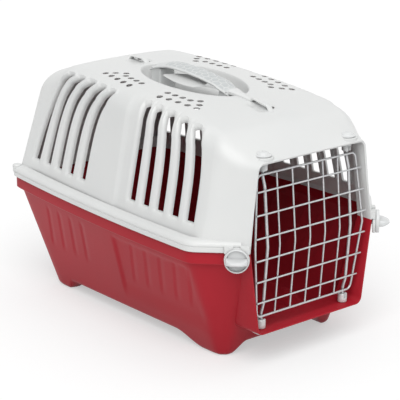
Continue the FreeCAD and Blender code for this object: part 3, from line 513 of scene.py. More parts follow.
def slot_drift(y0, s):
    """How far a slot that starts at y0 has drifted towards the lid's middle at s."""
    rear_most, front_most = 0.060, 0.019
    rear = rear_most * (1 - np.exp(-np.maximum(y0, 0) / 0.075))
    front = front_most * (1 - np.exp(-np.maximum(-y0 - 0.035, 0) / 0.06))
    up = np.interp(s, [slot_foot, 1.0, slot_top], [0, 0.87, 1.0])
    return (rear - front) * (0.25 * up + 0.75 * up ** 4)


def lid_columns():
    """Places of the net's columns: fine at the slots' edges, coarser elsewhere."""
    roll = [0.0, 0.00015, 0.0008, 0.0018, 0.0031, 0.0046, 0.0060]
    places = list(np.linspace(lid_front_y, -0.178, 20)) + list(np.linspace(-0.030, 0.058, 26))
    places += list(np.linspace(0.2140, lid_rear_y, 20))
    for centre in slot_places():
        for side in (-1, 1):
            places += [centre + side * (slot_half + r) for r in roll]
            places += [centre + side * slot_half * f for f in (0.45, 0.8)]
            places.append(centre + side * 0.0153)
        places.append(centre)
    return np.unique(np.round(places, 6))


def lid_shell():
    """The lid's shell: a net of arches, with its slots left open and their edges rolled inwards."""
    hair = 0.00005
    roll, lip_height = 0.0050, 0.0014
    front_flange, rear_flange = 0.0058, 0.0070
    low = np.interp([0.155, 0.162, 0.169, 0.175, 0.1795, 0.1815, 0.1828, 0.1836, 0.184],
                    [lid_low_z, slot_low_z], [0, slot_foot])
    rise = np.concatenate([low, np.linspace(slot_foot, 1.0, 18)[1:], np.linspace(1, 1.42, 9)[1:],
                           [slot_top, 1.475, 1.50, 1.53, 1.57, 1.62, 1.68, 1.76, 1.88, 2.0],
                           np.linspace(2, 3, 10)[1:]])
    s, y0 = np.meshgrid(rise, lid_columns(), indexing="ij")
    ends = smooth_step((y0 - front_y) / 0.045) * smooth_step((lid_rear_y - y0) / 0.022)
    y = y0 - ends * slot_drift(y0, s)
    across = np.abs(y0[..., None] - np.array(slot_places())).min(axis=-1)
    # The slots' upper ends are round: the net's rows dip beside each slot's middle
    dip = np.where(y0 > 0, 0.035, 0.10) * np.minimum(across / slot_half, 1) ** 2.2
    dip = dip * smooth_step((0.013 - across) / 0.006)
    dip = dip * np.clip(1 - np.abs(s - slot_top) / 0.28, 0, 1)
    # The front group reaches a little further over the shoulder than the rear group
    reach = 0.12 * smooth_step(-y0 / 0.03) - 0.05 * smooth_step(y0 / 0.05)
    reach = reach * smooth_step((s - 0.8) / 0.6) * smooth_step((2.3 - s) / 0.7)
    plain = np.stack(arch(y, s + reach), axis=-1)
    normal = np.cross(np.gradient(plain, axis=1), np.gradient(plain, axis=0))
    normal /= np.linalg.norm(normal, axis=-1, keepdims=True) + 1e-12
    x, y, z = arch(y, s - dip + reach)
    beyond = np.maximum(s - slot_top, 0) * 0.042
    below = np.maximum(slot_low_z - z, 0) * (s < slot_foot + 0.01)
    gap = np.sqrt(np.maximum(across - slot_half, 0) ** 2 + beyond ** 2 + below ** 2)
    depth = roll - np.sqrt(np.maximum(roll ** 2 - (roll - gap) ** 2, 0))
    depth = np.where(gap < roll, depth, 0)
    depth = np.where(gap < hair, np.where(y0 > 0, rear_flange, front_flange), depth)
    lip = np.exp(-((gap - 0.0052) / 0.0024) ** 2) * smooth_step((s - 1.0) / 0.3)
    depth = depth - lip_height * lip
    panel = side_recess(y, z) * smooth_step((1.9 - s) / 0.8) * smooth_step((s - 0.02) / 0.1)
    points = np.stack([x, y, z], axis=-1) - normal * (depth + panel)[..., None]
    points[-1, :, 0] = 0.0
    whole = np.concatenate([points, points[-2::-1] * [-1, 1, 1]], axis=0)
    inner, outer = across < slot_half - hair, across < slot_half + hair
    inside = inner[:-1, :-1] & outer[:-1, 1:] | outer[:-1, :-1] & inner[:-1, 1:]
    inside &= (s[:-1, :-1] >= slot_foot - 0.001) & (s[1:, :-1] <= slot_top + 0.001)
    net, faces = skin(whole, skip=np.concatenate([inside, inside[::-1]], axis=0))
    rows, columns = whole.shape[:2]
    faces.append(tuple(row * columns + columns - 1 for row in range(rows)))
    return thickened(moulded("lid_shell", (net, faces)), lid_wall_thickness)


well_half_width, well_half_length = 0.052, 0.089
well_floor_z = 0.2921


def full_turn(count):
    """Angles of count points round a circle."""
    return np.linspace(0, 2 * math.pi, count, endpoint=False)


def well_solid(profile, wall):
    """Oval tub through the roof, from rings of (shrink, drop below the roof); None is its floor."""
    turn = full_turn(96)
    bottom = well_floor_z - wall
    rows = []
    for shrink, drop in profile:
        x = (well_half_width - shrink) * np.cos(turn)
        y = (well_half_length - shrink) * np.sin(turn)
        z = np.full_like(x, bottom)
        if drop is not None:
            z = np.array([roof_z(a, b) for a, b in zip(x, y)]) - drop
            z = np.maximum(z, bottom + 0.0004)
        rows.append(np.column_stack([x, y, z]))
    return moulded("well", closed_skin(rows))


def drill(x, y, z, profile, fall_x=0, fall_y=0):
    """Round drill over x, y, from (radius, height) rings that slope as the surface does."""
    turn = full_turn(20)
    return closed_skin([
        np.column_stack([x + r * np.cos(turn), y + r * np.sin(turn),
                         z + h + r * (fall_x * np.cos(turn) + fall_y * np.sin(turn))])
        for r, h in profile])


def vent_holes():
    """Drills for the round holes of the roof, alike on both sides, before and behind the handle."""
    middle_y = -0.0080
    places = [(0.0890 - 0.0022 * i, 0.0310 + 0.0154 * i) for i in range(5)]
    places += [(0.0724 - 0.0015 * i, 0.0265 + 0.0130 * i) for i in range(4)]
    places += [(0.0695, 0.0852), (0.0595, 0.0752)]
    vent = [(0.0050, 0.003), (0.0044, 0.0), (0.0042, -0.0004), (0.0050, -0.0016),
            (0.0056, -0.003), (0.0056, -0.02)]
    rounds = [(side * x, end * y + middle_y, vent)
              for side in (-1, 1) for end in (-1, 1) for x, y in places]
    small = [(0.0034, 0.003), (0.0028, 0.0), (0.0026, -0.0004), (0.0048, -0.003), (0.0048, -0.02)]
    rounds += [(0.0109, -0.1382, small), (0.0095, 0.1270, small), (0.0085, 0.1080, small)]
    step = 0.004
    skins = []
    for x, y, profile in rounds:
        fall_x = (roof_z(x + step, y) - roof_z(x - step, y)) / (2 * step)
        fall_y = (roof_z(x, y + step) - roof_z(x, y - step)) / (2 * step)
        skins.append(drill(x, y, roof_z(x, y), profile, fall_x, fall_y))
    # The well's floor has one larger drain hole, in front of the handle's post
    drain = [(0.0062, 0.003), (0.0060, 0.0), (0.0056, -0.0008), (0.0056, -0.01)]
    return moulded("holes", *skins, drill(0.0005, 0.0460, well_floor_z, drain))


def strap_scoop(x, y):
    """Lens that dishes the roof beside a strap bar."""
    long, wide, deep = 0.0170, 0.0080, 0.0019
    turn = full_turn(36)
    rows = []
    for fall, share in ((-0.004, 1.25), (-0.001, 1.06), (0.0, 1.0), (0.45, 0.86), (0.8, 0.62),
                        (1.0, 0.25)):
        across, along = x + wide * share * np.cos(turn), y + long * share * np.sin(turn)
        top = np.array([roof_z(a, b) for a, b in zip(across, along)])
        rows.append(np.column_stack([across, along, top - (fall * deep if fall > 0 else fall)]))
    return moulded("scoop", closed_skin(rows))


def ridge_skin(line):
    """Rounded ridge or bar on the roof's middle line, from (y, half width, low, high) over it."""
    rows = []
    for y, half, low, high in line:
        base, thick = roof_z(0.0, y), high - low
        left = [(-0.72, low), (-1.0, low + 0.28 * thick), (-0.93, low + 0.7 * thick),
                (-0.55, high - 0.0003)]
        section = left + [(0.0, high)] + [(-x, z) for x, z in reversed(left)]
        rows.append([(x * half, y, base + z) for x, z in section])
    return closed_skin(rows)


def strap_bar(y0, y1):
    """Bar from y0 to y1 that rises from the roof, runs over the strap's gap and sinks back."""
    half_width, ramp_share = 0.0042, 0.22
    line = []
    for t in np.linspace(0, 1, 25):
        rise = min(smooth_step(t / ramp_share), smooth_step((1 - t) / ramp_share))
        line.append((y0 + (y1 - y0) * t, half_width, -0.0035 + 0.0070 * rise,
                     0.0004 + 0.0056 * rise))
    return ridge_skin(line)


root = math.sqrt(0.5)
lock_d, lock_along, lock_z = 0.2394, 0.0714, 0.147
rod_x = 0.0707


def corner_point(side, d, along, z):
    """Point on a front corner, at d along its outward diagonal and along across it."""
    return side * root * (d - along), -root * (d + along), z


def corner_skin(side, d0, d1, half_width, along, z0, z1):
    """Eased block on a front corner, between d0 and d1 along the corner's outward diagonal."""
    ease = 0.0009
    rows = []
    for d, shrink in ((d0, 0.0), (d1 - ease, 0.0), (d1 - ease * 0.3, ease * 0.3), (d1, ease)):
        wide, low, high = half_width - shrink, z0 + shrink, z1 - shrink
        rows.append([corner_point(side, d, along + way * wide, z)
                     for way, z in ((1, high), (-1, high), (-1, low), (1, low))])
    return closed_skin(rows)


def rings(x, y, profile):
    """Level rings of (radius, z) round an upright axis."""
    turn = full_turn(32)
    return np.array([np.column_stack([x + r * np.cos(turn), y + r * np.sin(turn), 0 * turn + z])
                     for r, z in profile])


def hood_seat_skin(side):
    """Round seat on the hood under a latch's button."""
    seat = [(0.0045, 0.2605), (0.0135, 0.2605), (0.0135, 0.2652), (0.0128, 0.2659),
            (0.0045, 0.2659), (0.0045, 0.2605)]
    return skin(rings(side * rod_x, -0.211, seat), closed_columns=True)


def rear_bump_skin(side):
    """Low round bump on the skirt at a rear corner, over the hidden hook."""
    bump = [(0.0062, 0.1600), (0.0064, 0.1690), (0.0056, 0.1700), (0.0020, 0.1702)]
    return closed_skin(rings(side * 0.1265, 0.2320, bump))


def turned(profile, at, steps, start=0.0, sweep=2 * math.pi):
    """Lathe-turned skin of a closed profile; at gives the point for its two values and an angle."""
    whole = sweep > 6.28
    angles = np.linspace(start, start + sweep, steps, endpoint=not whole)
    net = np.array([[at(r, h, a) for r, h in profile] for a in angles])
    return skin(net, closed_rows=whole, closed_columns=True, first_cap=not whole,
                last_cap=not whole)


def lock_turned(profile, side, steps=44, start=0.0, sweep=2 * math.pi):
    """Turned skin about a front lock's axis, from (radius, distance along the diagonal)."""
    def at(r, d, a):
        return corner_point(side, d, lock_along + r * math.cos(a), lock_z + r * math.sin(a))
    return turned(profile, at, steps, start, sweep)


def hood_back(z):
    """Rear edge of the collar's upper half."""
    return front_y + collar_depth + 0 * z


well_outside = [(-0.0030, 0.0012), (-0.0030, 0.008), (0.0040, 0.030), (0.0130, None)]
well_inside = [(-0.0034, -0.0012), (-0.0030, -0.0001), (-0.0014, 0.0003), (-0.0003, 0.0014),
               (0.0004, 0.0040), (0.0068, 0.0178), (0.0088, 0.0190), (0.0110, None)]
lid = lid_shell()
cut(lid, well_solid(well_outside, lid_wall_thickness), "UNION")
cut(lid, well_solid(well_inside, 0.0))
cut(lid, vent_holes())
for x, y in ((-0.0085, -0.1310), (0.0085, -0.1310), (-0.0080, 0.1160), (0.0080, 0.1160)):
    cut(lid, strap_scoop(x, y))
skirt_profile = [(0.0012, 0.1541), (0.0, 0.1550), (0.0, 0.1598), (0.0009, 0.1606),
                 (0.0009, 0.1614), (0.0002, 0.1622), (0.0006, 0.1646), (0.0024, 0.1668),
                 (0.0060, 0.1684), (0.0120, 0.1692), (0.0135, 0.1600), (0.0135, 0.1541)]
front_ridge = [(-0.1130, 0.0042, -0.003, 0.0030), (-0.1000, 0.0050, -0.003, 0.0034),
               (-0.0880, 0.0072, -0.003, 0.0042), (-0.0780, 0.0100, -0.003, 0.0050)]
tab_back_d, tab_front_d, tab_low_z = 0.2320, 0.2390, 0.1545
tab_steps = ((-0.0152, -0.0040, 0.1640), (-0.0041, 0.0041, 0.1612), (0.0040, 0.0152, 0.1640))
tab_mouth = 0.50
tab_ring = [(0.0104, 0.2352), (0.0150, 0.2352), (0.0155, 0.2358), (0.0155, 0.2384),
            (0.0150, 0.2390), (0.0104, 0.2390)]
lid_rims = [rim_skin(skirt_profile), collar_skin(hood_z, hood_half, hood_back),
            strap_bar(-0.1510, -0.1110), strap_bar(0.0960, 0.1360), ridge_skin(front_ridge)]
for side in (-1, 1):
    lid_rims += [hood_seat_skin(side), rear_bump_skin(side)]
    for near, far, top in tab_steps:
        lid_rims.append(corner_skin(side, tab_back_d, tab_front_d, (far - near) / 2,
                                    lock_along + (near + far) / 2, tab_low_z, top))
    lid_rims.append(lock_turned(tab_ring, side, 44, -math.pi / 2 + tab_mouth,
                                2 * math.pi - 2 * tab_mouth))
lid = merged("lid_shell", lid, moulded("lid_rims", *lid_rims))
pale, deep_pale = (0.79, 0.797, 0.787), (0.755, 0.767, 0.762)
lid.data.materials.append(plastic("pale_grey_polypropylene", pale, deep_pale, 0.33, 0.2))
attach(lid, "lid")
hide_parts("lid", "hand_well", "front_strap_bar", "rear_strap_bar")


# Handle: a crowned strap of the same pale plastic over the roof's well, with a fluted rear post.
# Its front end runs down to the roof. Its top carries a raised, irregular net for a better hold.
post_y = 0.0648
handle_top = 0.3299
# Middle line of the strap: y, underside z, top z
handle_line = np.array([
    (-0.0790, 0.3035, 0.3110), (-0.0700, 0.3078, 0.3152), (-0.0550, 0.3140, 0.3199),
    (-0.0270, 0.3187, 0.3246), (0.0, 0.3214, 0.3277), (0.0250, 0.3226, 0.3294),
    (0.0400, 0.3220, 0.3290), (0.0540, 0.3195, 0.3272), (0.0660, 0.3165, 0.3242),
    (0.0745, 0.3130, 0.3196), (0.0762, 0.3125, 0.3176)])


def eased_line(points, places):
    """Smooth values at places along given points, first column the place."""
    values = []
    for column in points.T[1:]:
        value = np.interp(places, points[:, 0], column)
        for _ in range(14):
            value[1:-1] = (value[:-2] + 2 * value[1:-1] + value[2:]) / 4
        values.append(value)
    return values


def net_ridges(x, y):
    """1 on the raised lines of the grip's net, 0 in its cells."""
    shake = np.random.default_rng(11)
    knots = np.array([(0.0088 * (i - 1.5 + 0.5 * (j % 2)), -0.084 + 0.0092 * j)
                      for j in range(16) for i in range(4)])
    knots = knots + shake.uniform(-0.0021, 0.0021, knots.shape)
    away = np.sort(np.hypot(x[..., None] - knots[:, 0], y[..., None] - knots[:, 1]), axis=-1)
    return smooth_step(1 - (away[..., 1] - away[..., 0]) / 0.0022)


def strap_skin():
    """The strap with its net, and a factor by point, 0 in the net's cells for painted shade."""
    y = np.linspace(handle_line[0, 0], handle_line[-1, 0], 230)
    low, high = eased_line(handle_line, y)
    strap_half, edge_height, net_sink, net_height = 0.0142, 0.0028, 0.0004, 0.0007
    half = strap_half * (1 - 0.30 * smooth_step((-0.060 - y) / 0.022))
    half = half * (1 - 0.05 * smooth_step((y - 0.05) / 0.02))
    across = np.sin(np.linspace(-1, 1, 47) * math.pi / 2 * 0.97)
    rows, net = [], []
    for place, under_z, top_z, wide in zip(y, low, high, half):
        edge = under_z + edge_height
        x, along = across * wide, np.full_like(across, place)
        top = edge + (top_z - edge) * (1 - np.abs(across) ** 2.4)
        zone = smooth_step((0.90 - np.abs(across)) / 0.12) * smooth_step((place + 0.078) / 0.01)
        zone = zone * smooth_step((0.049 - place) / 0.008)
        ridge = net_ridges(x, along) * zone
        top = np.minimum(top - net_sink + net_height * ridge, handle_top)
        upper = np.column_stack([x, along, top])
        under = [(wide * share, place, under_z + rise)
                 for share, rise in ((1.01, 0.0014), (0.95, 0.0003), (0.8, 0.0), (0.0, 0.0002),
                                     (-0.8, 0.0), (-0.95, 0.0003), (-1.01, 0.0014))]
        rows.append(np.vstack([upper, under]))
        # Painted shade by point: 0 darkens the net's cells, 1 on its lines and elsewhere
        net.append(np.concatenate([1 - zone + ridge, np.ones(len(under))]))
    return closed_skin(rows), np.array(net).ravel()


def post_skin():
    """Upright post under the strap's rear end, with two round flutes down each side."""
    half_width, half_length, corner_power = 0.0132, 0.0106, 0.22
    flute_depth, flute_width = 0.0011, 0.0016
    outline = []
    for t in full_turn(120):
        c, n = math.cos(t), math.sin(t)
        x = math.copysign(abs(c) ** corner_power, c) * half_width
        y = math.copysign(abs(n) ** corner_power, n) * half_length
        flute = sum(math.exp(-((y - place) / flute_width) ** 2) for place in (-0.0038, 0.0034))
        outline.append((x - math.copysign(flute_depth * flute, x), y))
    levels = ((0.2924, 1.06), (0.2950, 1.02), (0.3000, 1.0), (0.3100, 0.985), (0.3185, 0.97))
    return closed_skin([[(x * grow, post_y + y * grow, z) for x, y in outline]
                        for z, grow in levels])


def front_root_skin():
    """Sloping foot under the strap's front end, down to the well's floor."""
    levels = ((0.2924, -0.0715, -0.0560, 0.0112), (0.2980, -0.0725, -0.0580, 0.0112),
              (0.3040, -0.0745, -0.0610, 0.0110), (0.3100, -0.0755, -0.0630, 0.0106))
    return closed_skin([[(-half, y0, z), (half, y0, z), (half, y1, z), (-half, y1, z)]
                        for z, y0, y1, half in levels])


def grip_with_painted_cell_shade():
    """The grip's plastic with painted shade: a little darker in the net's cells than on its lines."""
    material = plastic("grip_grey_with_painted_cell_shade", (0.58, 0.605, 0.605), (0.555, 0.58, 0.582), 0.40, 0.2)
    tree = material.node_tree
    net = add_node(tree, "Attribute")
    net.attribute_name = "net"
    shade = add_node(tree, "Mix")
    shade.data_type = "RGBA"
    shade.blend_type = "MULTIPLY"
    # Painted shade: the lines are lifted to about the lid's grey, the cells stay darker
    shade.inputs["B"].default_value = (1.30, 1.27, 1.26, 1)
    tree.links.new(net.outputs["Fac"], shade.inputs["Factor"])
    tree.links.new(tree.nodes["Color Ramp"].outputs["Color"], shade.inputs["A"])
    surface = tree.nodes["Principled BSDF"]
    tree.links.new(shade.outputs["Result"], surface.inputs["Base Color"])
    return material


strap, cell_shade_values = strap_skin()
handle = moulded("handle_grip", strap, post_skin(), front_root_skin())
# Painted shade of the net's cells, kept by point for the grip's colour
cell_shade_mark = handle.data.attributes.new("net", "FLOAT", "POINT")
no_cell_shade = np.ones(len(handle.data.vertices) - len(cell_shade_values))
cell_shade_mark.data.foreach_set("value", np.concatenate([cell_shade_values, no_cell_shade]))
handle.data.materials.append(grip_with_painted_cell_shade())
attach(handle, "lid")
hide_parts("handle")


# Wire door: a bent grid of coated steel wires, spot-welded where they cross.
# A thicker rod on each side runs past the frame at both ends, and its ends stand in the latches.
door_top_z, door_bottom_z = 0.244, 0.063
door_middle_z = (door_top_z + door_bottom_z) / 2
door_top_half, door_middle_half, door_bottom_half = 0.0827, 0.0914, 0.0806
grid_y = front_y + 0.005
door_bend = 0.0077
frame_radius, rod_radius, grid_radius = 0.0014, 0.0019, 0.0011
upright_pitch, rail_pitch = 0.0256, 0.0283
weld_gap, weld_half, weld_swell = 0.00003, 0.0013, 1.16
rail_right_end = 0.0049
rod_end, rod_jog_near, rod_jog_far = 0.0104, 0.0028, 0.016
rod_end_y = grid_y + door_bend + frame_radius + rod_radius


def coated_wire():
    """Pale coat on steel wire, with a fine uneven tone and sheen."""
    material, tree, surface = new_material("pale_coated_steel")
    surface.inputs["Metallic"].default_value = 0.55
    streak = noise(tree, Scale=260.0)
    tone = two_tone(tree, streak, (0.46, 0.47, 0.48), (0.72, 0.73, 0.74))
    tree.links.new(tone, surface.inputs["Base Color"])
    uneven_sheen(tree, streak, surface, 0.26, 0.42)
    return material


def wire_tree():
    """Node tree that turns a bent line into a round wire with rounded bends and closed ends."""
    tree = bpy.data.node_groups.new("bent_wire", "GeometryNodeTree")
    tree.interface.new_socket("Line", in_out="INPUT", socket_type="NodeSocketGeometry")
    for label in ("Wire radius", "Bend radius"):
        tree.interface.new_socket(label, in_out="INPUT", socket_type="NodeSocketFloat")
    tree.interface.new_socket("Wire", in_out="OUTPUT", socket_type="NodeSocketGeometry")
    nodes, links = tree.nodes, tree.links
    given, made = nodes.new("NodeGroupInput"), nodes.new("NodeGroupOutput")
    bend = nodes.new("GeometryNodeFilletCurve")
    bend.mode = "POLY"
    bend.inputs["Count"].default_value = 8
    bend.inputs["Limit Radius"].default_value = True
    ring = nodes.new("GeometryNodeCurvePrimitiveCircle")
    ring.inputs["Resolution"].default_value = 14
    drawn = nodes.new("GeometryNodeCurveToMesh")
    drawn.inputs["Fill Caps"].default_value = True
    single = nodes.new("GeometryNodeRealizeInstances")
    round_look = nodes.new("GeometryNodeSetShadeSmooth")
    finish = nodes.new("GeometryNodeSetMaterial")
    finish.inputs["Material"].default_value = coated_wire()
    links.new(given.outputs["Line"], bend.inputs["Curve"])
    links.new(given.outputs["Bend radius"], bend.inputs["Radius"])
    links.new(given.outputs["Wire radius"], ring.inputs["Radius"])
    links.new(bend.outputs["Curve"], drawn.inputs["Curve"])
    links.new(ring.outputs["Curve"], drawn.inputs["Profile Curve"])
    links.new(drawn.outputs["Mesh"], single.inputs["Geometry"])
    links.new(single.outputs["Geometry"], round_look.inputs["Geometry"])
    links.new(round_look.outputs["Geometry"], finish.inputs["Geometry"])
    links.new(finish.outputs["Geometry"], made.inputs["Wire"])
    return tree


bent_wire = wire_tree()
wire_sockets = {item.name: item.identifier for item in bent_wire.interface.items_tree
                if item.in_out == "INPUT"}


def door_wire(node, points, radius, bend=0.0, closed=False, swell=None):
    """One wire of the door, in place of its CAD node; swell is its relative thickness by point."""
    line = bpy.data.curves.new(node + "_line", "CURVE")
    line.dimensions = "3D"
    spline = line.splines.new("POLY")
    spline.points.add(len(points) - 1)
    for i, (point, place) in enumerate(zip(spline.points, points)):
        point.co = (*place, 1)
        point.radius = swell[i] if swell else 1.0
    spline.use_cyclic_u = closed
    path = placed(node + "_line", line)
    shaped = path.modifiers.new("wire", "NODES")
    shaped.node_group = bent_wire
    shaped[wire_sockets["Wire radius"]] = radius
    shaped[wire_sockets["Bend radius"]] = bend
    mesh = plain_mesh(path)
    bpy.data.objects.remove(path)
    wire = placed(node + "_wire", mesh)
    mesh.set_sharp_from_angle(angle=math.radians(50))
    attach(wire, "door")
    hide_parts(node)


def bend_share(z):
    """0 at the door's bend, 1 at its top and bottom."""
    return abs(z - door_middle_z) / (door_top_z - door_middle_z)


def bent_y(z):
    """The frame wire's place along Y at height z."""
    return grid_y + door_bend * bend_share(z)


def frame_half(z):
    """Half of the frame's width at height z."""
    end_half = door_top_half if z > door_middle_z else door_bottom_half
    return door_middle_half + (end_half - door_middle_half) * bend_share(z)


right_corners = [(door_top_half, bent_y(door_top_z), door_top_z),
                 (door_middle_half, grid_y, door_middle_z),
                 (door_bottom_half, bent_y(door_bottom_z), door_bottom_z)]
frame_loop = right_corners + [(-x, y, z) for x, y, z in reversed(right_corners)]
door_wire("door_frame", frame_loop, frame_radius, 0.0075, closed=True)
upright_places = [(i - 2) * upright_pitch for i in range(5)]
trim = frame_radius + weld_gap
for i, x in enumerate(upright_places):
    upright = [(x, bent_y(z) - 0.0003, z)
               for z in (door_bottom_z + trim, door_middle_z, door_top_z - trim)]
    door_wire(f"door_upright_{i + 1}", upright, grid_radius, 0.03)
for i in range(6):
    z = door_middle_z + (2.5 - i) * rail_pitch
    y = bent_y(z) - frame_radius - grid_radius - weld_gap
    # A rail thickens a little at each weld, where it was pressed on the frame, a rod or an upright
    rail, swell = [(-frame_half(z) - frame_radius, y, z)], [0.8]
    for weld in [-frame_half(z), -rod_x] + upright_places + [rod_x, frame_half(z)]:
        rail += [(weld + step, y, z) for step in (-weld_half, 0.0, weld_half)]
        swell += [1.0, weld_swell, 1.0]
    rail, swell = rail + [(frame_half(z) + rail_right_end, y, z)], swell + [0.9]
    door_wire(f"door_rail_{i + 1}", rail, grid_radius, swell=swell)
for name, side in (("left", -1), ("right", 1)):
    x = side * rod_x
    rod = [(x, rod_end_y, door_bottom_z + step) for step in (-rod_end, rod_jog_near)]
    rod += [(x, bent_y(z) + 0.0005, z)
            for z in (door_bottom_z + rod_jog_far, door_middle_z, door_top_z - rod_jog_far)]
    rod += [(x, rod_end_y, door_top_z + step) for step in (-rod_jog_near, rod_end)]
    door_wire(f"door_rod_{name}", rod, rod_radius, 0.012)


# Door latches: four turned plastic plugs, two in the hood and two in the sill.
# Each has a domed button outside, a stem through the shell and a slotted jaw for a rod's end.
latch_plastic = plastic("pale_latch_plastic", (0.79, 0.80, 0.80), (0.745, 0.76, 0.76), 0.28, 0.1)
button = [(0.0002, -0.001), (0.0104, -0.0002), (0.0110, 0.0004), (0.0109, 0.0012),
          (0.0098, 0.0018), (0.0083, 0.0021), (0.0077, 0.0033), (0.0060, 0.0043),
          (0.0036, 0.0048), (0.0002, 0.0049)]
plate = [(0.0002, 0.0), (0.0056, 0.0), (0.0060, -0.0006), (0.0060, -0.0048), (0.0002, -0.0048)]
jaw = [(0.0022, -0.0112), (0.0022, -0.0048), (0.0060, -0.0048), (0.0060, -0.0104),
       (0.0054, -0.0112)]
jaw_opening = 0.44


def plug_turned(profile, side, z, flip, steps=36, start=0.0, sweep=2 * math.pi):
    """Turned skin about a latch's upright axis, from (radius, height over z); flip -1 hangs it."""
    def at(r, h, a):
        return side * rod_x + r * math.cos(a), rod_end_y + r * math.sin(a), z + flip * h
    return turned(profile, at, steps, start, sweep)


for name, side in (("left", -1), ("right", 1)):
    for end, seat_z, jaw_z, flip in (("top", 0.2664, 0.2591, 1), ("bottom", 0.0436, 0.0469, -1)):
        stem_low = abs(seat_z - jaw_z) + 0.001
        stem = [(0.0002, 0.0), (0.0039, 0.0), (0.0039, -stem_low), (0.0002, -stem_low)]
        mouth = -math.pi / 2 if side > 0 else 0.0
        latch = moulded(f"{end}_{name}_latch_plug", plug_turned(button, side, seat_z, flip),
                        plug_turned(stem, side, seat_z, flip),
                        plug_turned(plate, side, jaw_z, flip),
                        plug_turned(jaw, side, jaw_z, flip, 40, mouth + jaw_opening,
                                    2 * math.pi - 2 * jaw_opening))
        latch.data.materials.append(latch_plastic)
        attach(latch, f"{end}_{name}_latch")
        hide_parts(f"{end}_{name}_latch")


# Corner knobs: round turning locks of the latches' plastic with a thumb grip, at the front corners.
# Each turns an oblong key in a keyhole of the lid's tab, so that the lid can't lift.
knob_cup = [(0.0002, 0.0), (0.0144, 0.0), (0.0150, 0.0007), (0.0150, 0.0036), (0.0146, 0.0044),
            (0.0139, 0.0046), (0.0132, 0.0042), (0.0128, 0.0030), (0.0125, 0.0012),
            (0.0002, 0.0010)]
knob_shaft = [(0.0002, 0.001), (0.0040, 0.001), (0.0040, -0.0092), (0.0034, -0.0096),
              (0.0002, -0.0096)]
grip_section = ((1.06, -0.20), (1.0, 0.30), (0.88, 0.72), (0.62, 0.93), (0.25, 1.0),
                (-0.25, 1.0), (-0.62, 0.93), (-0.88, 0.72), (-1.0, 0.30), (-1.06, -0.20))


def grip_skin(side):
    """Thumb grip: a waisted bar right across the knob, standing well out of its cup."""
    grip_half_length, grip_height, grip_half_width = 0.0133, 0.0138, 0.0038
    base_d = lock_d + 0.0040
    rows = []
    for t in np.linspace(-1, 1, 29):
        along = lock_along + t * grip_half_length
        height = grip_height * (1 - 0.60 * abs(t) ** 3.0)
        waist = (0.74 + 0.36 * t * t) * (1 - 0.5 * max(abs(t) - 0.92, 0) / 0.08)
        half = grip_half_width * waist
        rows.append([corner_point(side, base_d + height * up, along, lock_z + half * wide)
                     for wide, up in grip_section])
    return closed_skin(rows)


for name, side in (("left", -1), ("right", 1)):
    cup, shaft = ([(r, lock_d + h) for r, h in profile] for profile in (knob_cup, knob_shaft))
    knob = moulded(f"front_{name}_knob_lock", lock_turned(cup, side),
                   lock_turned(shaft, side, 24), grip_skin(side))
    knob.data.materials.append(latch_plastic)
    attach(knob, f"front_{name}_knob")
    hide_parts(f"front_{name}_knob")
    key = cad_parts[f"front_{name}_lock_key"]
    key.data.materials.clear()
    key.data.materials.append(latch_plastic)


# Studio: a pale floor and soft light from above and in front, seen through a long lens.
# None of it belongs to the carrier.
def seen_directly(tree):
    """1 for what the camera sees itself, in a reflection or through glass, else 0."""
    ray = add_node(tree, "LightPath")
    first, second = add_node(tree, "Math"), add_node(tree, "Math")
    first.operation = second.operation = "MAXIMUM"
    tree.links.new(ray.outputs["Is Camera Ray"], first.inputs[0])
    tree.links.new(ray.outputs["Is Glossy Ray"], first.inputs[1])
    tree.links.new(first.outputs["Value"], second.inputs[0])
    tree.links.new(ray.outputs["Is Transmission Ray"], second.inputs[1])
    return second.outputs["Value"]


def shown_as(tree, lighting, look, output):
    """Lets a surface or sky light the scene with one shader and be seen with another."""
    either = add_node(tree, "MixShader")
    tree.links.new(seen_directly(tree), either.inputs["Fac"])
    tree.links.new(lighting, either.inputs[1])
    tree.links.new(look, either.inputs[2])
    tree.links.new(either.outputs["Shader"], tree.nodes[output].inputs["Surface"])


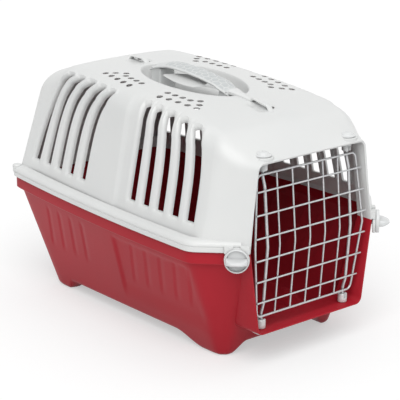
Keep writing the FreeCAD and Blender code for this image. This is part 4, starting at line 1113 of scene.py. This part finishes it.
floor_mesh = bpy.data.meshes.new("studio_floor")
floor_mesh.from_pydata([(-6, -6, 0), (6, -6, 0), (6, 6, 0), (-6, 6, 0)], [], [(0, 1, 2, 3)])
floor = placed("studio_floor", floor_mesh)
paper, paper_tree, paper_surface = new_material("pale_paper")
paper_surface.inputs["Roughness"].default_value = 0.9
paper_tone = two_tone(paper_tree, noise(paper_tree, Scale=40.0), (0.90, 0.90, 0.90),
                      (0.93, 0.93, 0.93))
paper_tree.links.new(paper_tone, paper_surface.inputs["Base Color"])
paper_shade = add_node(paper_tree, "BsdfDiffuse", Color=(0.60, 0.60, 0.60, 1))
paper_glow = add_node(paper_tree, "Emission", Strength=0.47)
paper_seen = add_node(paper_tree, "AddShader")
paper_tree.links.new(paper_shade.outputs["BSDF"], paper_seen.inputs[0])
paper_tree.links.new(paper_glow.outputs["Emission"], paper_seen.inputs[1])
shown_as(paper_tree, paper_surface.outputs["BSDF"], paper_seen.outputs["Shader"],
         "Material Output")
floor_mesh.materials.append(paper)

world = bpy.data.worlds.new("studio")
bpy.context.scene.world = world
world.use_nodes = True
sky = world.node_tree.nodes["Background"]
sky.inputs["Color"].default_value = (1, 1, 1, 1)
sky.inputs["Strength"].default_value = 0.33
white = add_node(world.node_tree, "Background", Color=(1, 1, 1, 1), Strength=1.0)
shown_as(world.node_tree, sky.outputs["Background"], white.outputs["Background"], "World Output")


def soft_lamp(name, towards, strength, spread):
    """Wide soft sun that shines towards a direction."""
    lamp = bpy.data.lights.new(name, "SUN")
    lamp.energy = strength
    lamp.angle = math.radians(spread)
    holder = placed(name, lamp)
    holder.rotation_euler = Vector(towards).to_track_quat("-Z", "Y").to_euler()


soft_lamp("key", (0.45, 0.50, -0.74), 1.60, 50)
soft_lamp("overhead", (-0.15, 0.10, -1.0), 0.75, 80)

photo_width, focal_pixels = 400, 1579.0
camera_azimuth, camera_elevation = math.radians(-40.26), math.radians(17.19)
camera_distance = 2.1132
aim = Vector((0.00757, -0.00298, 0.1462))
lens = bpy.data.cameras.new("studio_camera")
lens.sensor_width = 36.0
lens.lens = lens.sensor_width * focal_pixels / photo_width
camera = placed("studio_camera", lens)
camera.location = aim + camera_distance * Vector((
    math.sin(camera_azimuth) * math.cos(camera_elevation),
    -math.cos(camera_azimuth) * math.cos(camera_elevation),
    math.sin(camera_elevation)))
camera.rotation_euler = (aim - camera.location).to_track_quat("-Z", "Y").to_euler()
bpy.context.scene.camera = camera
bpy.context.scene.view_settings.view_transform = "Standard"
bpy.context.scene.cycles.diffuse_bounces = 1
